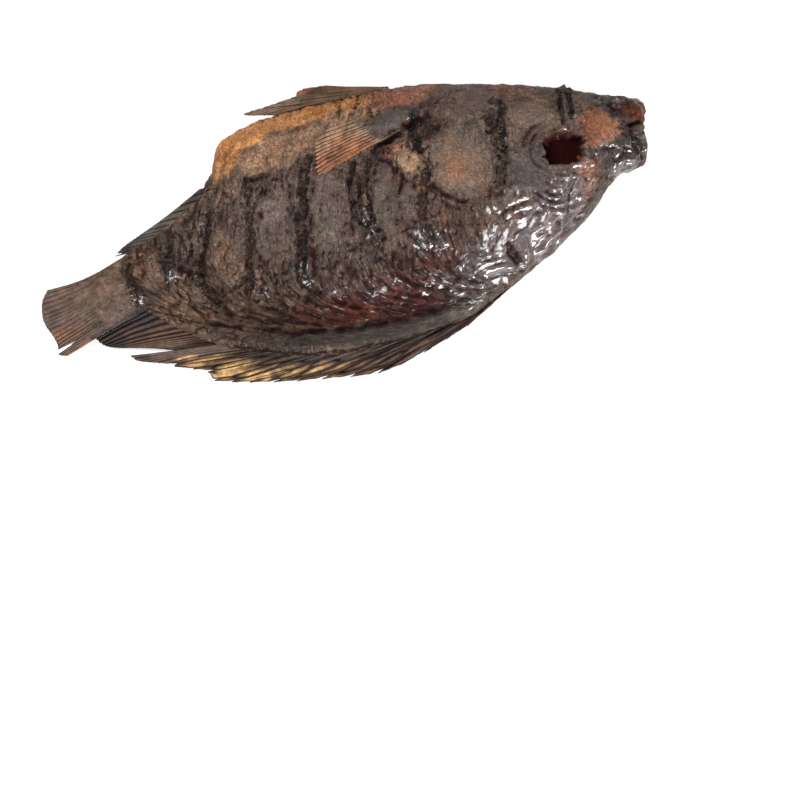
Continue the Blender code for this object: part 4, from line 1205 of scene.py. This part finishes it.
def makeSpines(material):
    blades = spines["blades"]
    shapes = []
    for blade in range(blades):
        mesh, v, t = newGrid("blade", spines["columns"], spines["rows"])
        start = blade / blades
        luck = float(noise3(blade * 1.9 + 0.4, 3.3, 0.7, 81))
        onward = spines["reach"] / blades * (1 + 0.3 * luck)
        tipShare = max(0.0, start + 0.010 * float(noise3(blade * 2.3 + 0.2, 1.7, 0.4, 82)))
        outer = readCurve(spines["outline"], np.clip(tipShare + onward * np.minimum(t / 0.34, 1), 0, 1))
        outerRoot = readCurve(spines["roots"], np.clip(start + onward + 0 * t, 0, 1))
        outer = outer + (outerRoot - outer) * (np.clip((t - 0.22) / 0.78, 0, 1) ** 1.15)[:, None]
        tip = readCurve(spines["outline"], tipShare + 0 * t)
        innerRoot = readCurve(spines["roots"], np.clip(start + 0 * t, 0, 1))
        inner = tip + (innerRoot - tip) * t[:, None]
        inner[:, 1] += (0.6 + 0.5 * luck) * np.sin(math.pi * t)
        point = inner + (outer - inner) * v[:, None]
        raised = spines["step"] * v * ease(0.0, 0.12, t) * ease(1.0, 0.7, t)
        crest = np.abs(noise3(v * spines["ridges"] + blade * 5.1, t * 2.5, 0.5, 83))
        z = point[:, 2] + raised + 0.9 * crest * ease(0.0, 0.2, t) + 0.4 * noise3(t * 4, v * 2, blade * 3.7, 84)
        x, y = fromLeaning(point[:, 0], point[:, 1], point[:, 2])
        wobble = 0.35 * cloud(x, y, z, 3.0, 85, 2) * ease(0.5, 1.0, v)
        mesh.vertices.foreach_set("co", toWorld(np.stack([x, y + wobble, z], -1)).astype(np.float32).ravel())
        patch = cloud(x, y, z, 5, 86, 3, 0.6)
        lit = ease(0.66, 0.34, t + 0.30 * patch + 0.10 * luck) * ease(0.0, 0.12, t) * ease(134, 98, x)
        lit = (lit * ease(-0.35, 0.15, cloud(x, y, z, 10, 87, 2) + 0.5 * luck))[:, None]
        burntGold = (ease(0.0, 0.5, cloud(x, y, z, 5, 88, 3, 0.6)) * 0.7)[:, None]
        gold = tints["gold"] * (1 - burntGold) + tints["toast"] * 0.8 * burntGold
        tint = tints["bark"] * (1 - lit) + gold * lit
        dusky = (ease(0.45, 0.80, t + 0.15 * patch) * 0.8)[:, None]
        tint = (tint * (1 - dusky) + tints["slate"] * 0.8 * dusky) * np.exp(0.5 * patch)[:, None]
        grime = np.exp(0.9 * cloud(x, y, z, 3.0, 89, 3, 0.6) - 0.25 * lit[:, 0])[:, None]
        paintVertices(mesh, "tint", tint * grime)
        # low in the blade's troughs and along its two edges, where the blades lie over one another; the fin's material
        # paints these low places darker as painted shade
        lines = np.clip(0.12 + crest * 3.8, 0, 1) * ease(0.0, 0.22, v) * ease(1.0, 0.82, v)
        paintVertices(mesh, "ray", lines)
        paintVertices(mesh, "leather", 0 * t)
        shapes.append(mesh)
    whole = bmesh.new()
    for mesh in shapes:
        whole.from_mesh(mesh)
        bpy.data.meshes.remove(mesh)
    joined = bpy.data.meshes.new("spinyDorsalFin")
    whole.to_mesh(joined)
    whole.free()
    joined.materials.append(material)
    joined.shade_smooth()
    piece = addPiece(joined, "spinyDorsalFin")
    thicken(piece, spines["thick"])


def skinHeightOver(piece):
    # height of the trunk's upper skin, or of its lower skin, at places in the drawing, in millimetres
    tree = BVHTree.FromObject(piece, bpy.context.evaluated_depsgraph_get())

    def height(x, y, under=False):
        places = toWorld(np.stack([x, y, 0 * x + (-40.0 if under else 80.0)], -1))
        heading = Vector((0, 0, 1 if under else -1))
        found = []
        for place in places:
            hit = tree.ray_cast(Vector(place), heading)[0]
            found.append((hit.z - cadLow.z) / unit if hit else np.nan)
        return np.array(found)
    return height


finSkin = finMaterial()
overTrunk = skinHeightOver(body)
for finName, finLook in fins.items():
    makeFin(finName, finLook, finSkin, overTrunk)
makeSpines(finSkin)
print("fins made")


# ---- loose flakes and crumbs ----

# Flakes of skin that stand up: place x, y; length, width; turn; curl; tilt; tint.
flakes = {
    "each": [
        (191.5, 34.2, 7.5, 1.5, 14, 1.2, 4, "umber"), (195.0, 36.0, 2.6, 1.0, 60, 0.8, 16, "skin"),
        (227.6, 6.4, 3.4, 1.1, -50, 0.3, 12, "wine"), (232.6, 7.8, 4.0, 1.3, -82, 0.3, 14, "wine"),
        (237.6, 7.2, 3.6, 1.1, -104, 0.3, 14, "wine"),
        (239.5, -4.6, 3.4, 1.6, 120, 0.6, 24, "brick"), (227.0, -4.2, 2.6, 1.2, 70, 0.4, 20, "dusk"),
        (83.2, 33.6, 5.2, 2.0, 14, 1.0, 10, "umber"), (86.0, 32.4, 4.0, 1.6, -30, 1.0, 16, "bark"),
        (243.0, 26.6, 4.6, 1.8, -24, 0.8, 10, "umber"), (247.0, 24.6, 3.2, 1.3, -24, 0.8, 14, "bark"),
        (198.5, 21.8, 5.2, 1.6, 4, 0.6, 10, "slate"),
        (173.0, 30.6, 5.0, 2.0, 20, 0.9, 16, "wine"), (180.0, 33.2, 3.6, 1.8, 60, 0.9, 18, "umber"),
        (187.0, 36.8, 3.0, 1.4, 20, 0.7, 16, "dusk"), (162.5, 27.4, 6.0, 1.3, 8, 0.6, 10, "dusk"),
        (110.0, 26.0, 3.4, 1.8, 30, 0.7, 18, "umber"), (101.5, 26.5, 3.0, 1.6, -20, 0.7, 18, "umber"),
        (63.0, -2.0, 4.4, 1.6, 40, 0.8, 16, "bark"), (68.0, 3.4, 4.6, 1.8, 66, 0.8, 18, "umber"),
        (76.0, 4.0, 5.2, 2.0, 70, 0.9, 18, "umber"), (203.0, -8.6, 4.4, 1.5, -10, 0.6, 12, "umber"),
        (165.0, -3.4, 3.6, 1.8, 80, 0.8, 18, "umber"),
        (141.6, 8.4, 5.0, 1.6, 76, 0.9, 20, "umber"), (146.0, 4.0, 5.0, 1.8, 84, 0.9, 18, "bark"),
        (264.0, 13.2, 5.0, 1.6, -24, 0.6, 10, "wine"), (260.0, 10.6, 4.0, 1.4, 30, 0.6, 10, "wine"),
    ],
    "columns": 8, "rows": 6, "thick": 0.28, "sink": 0.15,
}
# Crumbs of char along the burnt bars: how many to each millimetre of bar and of width, and their size.
crumbs = {"perArea": 0.14, "smallest": 0.25, "largest": 0.80, "seed": 7}


def flakeMaterial():
    graph = Graph("charredFlake")
    tint = graph.node("ShaderNodeAttribute", {"attribute_name": "tint"}, output="Color")
    fine = graph.noise(700, 4, 0.65)
    broad = graph.noise(260, 3, 0.6)
    mottle = 0.35 + fine * 0.7 + broad * 0.6
    shade = graph.node("ShaderNodeCombineColor", None, {0: mottle, 1: mottle, 2: mottle})
    base = graph.mix(1.0, tint, shade, "MULTIPLY")
    graph.plug(graph.shader.inputs["Base Color"], base)
    graph.plug(graph.shader.inputs["Roughness"], 0.48 + (fine - 0.5) * 0.5)
    graph.plug(graph.shader.inputs["Coat Weight"], graph.span(broad, 0.4, 0.6) * 0.15)
    graph.shader.inputs["Coat Roughness"].default_value = 0.20
    graph.shader.inputs["Specular IOR Level"].default_value = 0.20
    graph.plug(graph.shader.inputs["Normal"], graph.bump(fine + broad, 0.7, 0.0005))
    return graph.material


def joinMeshes(name, meshes):
    whole = bmesh.new()
    for mesh in meshes:
        whole.from_mesh(mesh)
        bpy.data.meshes.remove(mesh)
    joined = bpy.data.meshes.new(name)
    whole.to_mesh(joined)
    whole.free()
    joined.shade_smooth()
    return joined


def makeFlakes(material, skinHeight):
    made = []
    for index, (centreX, centreY, length, width, degrees, curl, tilt, name) in enumerate(flakes["each"]):
        mesh, u, v = newGrid("flake", flakes["columns"], flakes["rows"])
        a, b = u * 2 - 1, v * 2 - 1
        ragged = 1 + 0.35 * noise3(a * 1.7, b * 1.7, index * 3.1, 91)
        narrow = 1 - 0.45 * np.abs(a) ** 2
        along, side = a * length / 2 * ragged, b * width / 2 * ragged * narrow
        turn = math.radians(degrees)
        x = centreX + along * math.cos(turn) - side * math.sin(turn)
        y = centreY + along * math.sin(turn) + side * math.cos(turn)
        x, y = fromLeaning(x, y, 31.0 + 0 * x)
        middle = skinHeight(*(np.array([value]) for value in fromLeaning(centreX, centreY, 31.0)))[0]
        z = np.fmax(skinHeight(x, y), middle - 1.5) - flakes["sink"] + curl * (a * a + 0.4 * b * b) * 0.5
        z = z + (a + 1) * length / 2 * math.tan(math.radians(tilt)) * 0.5 + 0.3 * noise3(a * 2, b * 2, index, 92)
        mesh.vertices.foreach_set("co", toWorld(np.stack([x, y, z], -1)).astype(np.float32).ravel())
        paintVertices(mesh, "tint", np.repeat(tints[name][None, :], len(x), 0))
        made.append(mesh)
    joined = joinMeshes("skinFlakes", made)
    joined.materials.append(material)
    piece = addPiece(joined, "skinFlakes")
    thicken(piece, flakes["thick"])


def makeCrumbs(material, skinHeight):
    chance = np.random.default_rng(crumbs["seed"])
    made = []
    for path, width, depth in grillBars:
        points = readCurve(path, np.linspace(0, 1, 80))
        length = np.hypot(*np.diff(points[:, :2], axis=0).T).sum()
        count = int(length * width * crumbs["perArea"] * (0.4 + depth))
        at = readCurve(path, chance.random(count))
        x = at[:, 0] + chance.normal(0, width * 0.34, count)
        y = at[:, 1] + chance.normal(0, width * 0.34, count)
        x, y = fromLeaning(x, y, 31.0 + 0 * x)
        z = skinHeight(x, y)
        for placeX, placeY, placeZ in zip(x, y, z):
            if math.isnan(placeZ):
                continue
            shape = bmesh.new()
            bmesh.ops.create_icosphere(shape, subdivisions=1, radius=1.0)
            mesh = bpy.data.meshes.new("crumb")
            shape.to_mesh(mesh)
            shape.free()
            ball = np.empty(len(mesh.vertices) * 3)
            mesh.vertices.foreach_get("co", ball)
            size = chance.uniform(crumbs["smallest"], crumbs["largest"])
            stretch = chance.uniform(0.6, 1.5, 3)
            ball = ball.reshape(-1, 3) * size * stretch * chance.uniform(0.75, 1.2, (len(mesh.vertices), 1))
            ball = ball + np.array([placeX, placeY, placeZ + 0.1 * size])
            mesh.vertices.foreach_set("co", toWorld(ball).astype(np.float32).ravel())
            shade = tints["soot"] * 0.8 if chance.random() < 0.6 else tints["umber"]
            paintVertices(mesh, "tint", np.repeat(shade[None, :], len(ball), 0))
            made.append(mesh)
    joined = joinMeshes("charCrumbs", made)
    joined.materials.append(material)
    addPiece(joined, "charCrumbs")


charSkin = flakeMaterial()
makeFlakes(charSkin, overTrunk)
makeCrumbs(charSkin, overTrunk)
print("flakes and crumbs made")


# ---- floor, light and camera ----

studio = {"elevation": 78.0, "azimuth": -17.18, "distance": 1.30, "millimetresPerPixel": 0.42333,
          "aim": (134.94, -83.3, 16.0)}


def makeStudio():
    scene = bpy.context.scene
    shape = bmesh.new()
    bmesh.ops.create_grid(shape, x_segments=1, y_segments=1, size=3.0)
    mesh = bpy.data.meshes.new("floor")
    shape.to_mesh(mesh)
    shape.free()
    floor = bpy.data.objects.new("floor", mesh)
    scene.collection.objects.link(floor)
    graph = Graph("paleFloor")
    graph.shader.inputs["Base Color"].default_value = (0.96, 0.96, 0.96, 1)
    graph.shader.inputs["Roughness"].default_value = 0.9
    graph.shader.inputs["Specular IOR Level"].default_value = 0.1
    mesh.materials.append(graph.material)

    world = bpy.data.worlds.new("softRoom")
    world.use_nodes = True
    world.node_tree.nodes["Background"].inputs["Color"].default_value = (1.0, 1.0, 1.0, 1)
    world.node_tree.nodes["Background"].inputs["Strength"].default_value = 0.34
    scene.world = world

    def addPanel(name, towards, distance, size, power, tint=(1, 1, 1)):
        light = bpy.data.lights.new(name, "AREA")
        light.shape = "RECTANGLE"
        light.size, light.size_y = size
        light.energy = power
        light.color = tint
        holder = bpy.data.objects.new(name, light)
        direction = Vector(towards).normalized()
        holder.location = direction * distance
        holder.rotation_euler = (-direction).to_track_quat("-Z", "Y").to_euler()
        scene.collection.objects.link(holder)

    addPanel("windowPanel", (0.25, -0.90, 0.46), 1.6, (1.0, 0.42), 52)
    addPanel("ceilingPanel", (-0.35, 0.20, 1.0), 1.8, (0.9, 0.9), 31)

    camera = bpy.data.cameras.new("camera")
    camera.sensor_width = 36.0
    frameWidth = 800 * studio["millimetresPerPixel"] / 1000
    camera.lens = camera.sensor_width * studio["distance"] / frameWidth
    camera.clip_start = 0.05
    holder = bpy.data.objects.new("camera", camera)
    azimuth, elevation = math.radians(studio["azimuth"]), math.radians(studio["elevation"])
    back = Vector((math.sin(azimuth) * math.cos(elevation), -math.cos(azimuth) * math.cos(elevation),
                   math.sin(elevation)))
    aim = Vector(toWorld(studio["aim"]))
    holder.location = aim + back * studio["distance"]
    holder.rotation_euler = (-back).to_track_quat("-Z", "Y").to_euler()
    scene.collection.objects.link(holder)
    scene.camera = holder
    scene.view_settings.view_transform = "Standard"


makeStudio()
print("studio made")
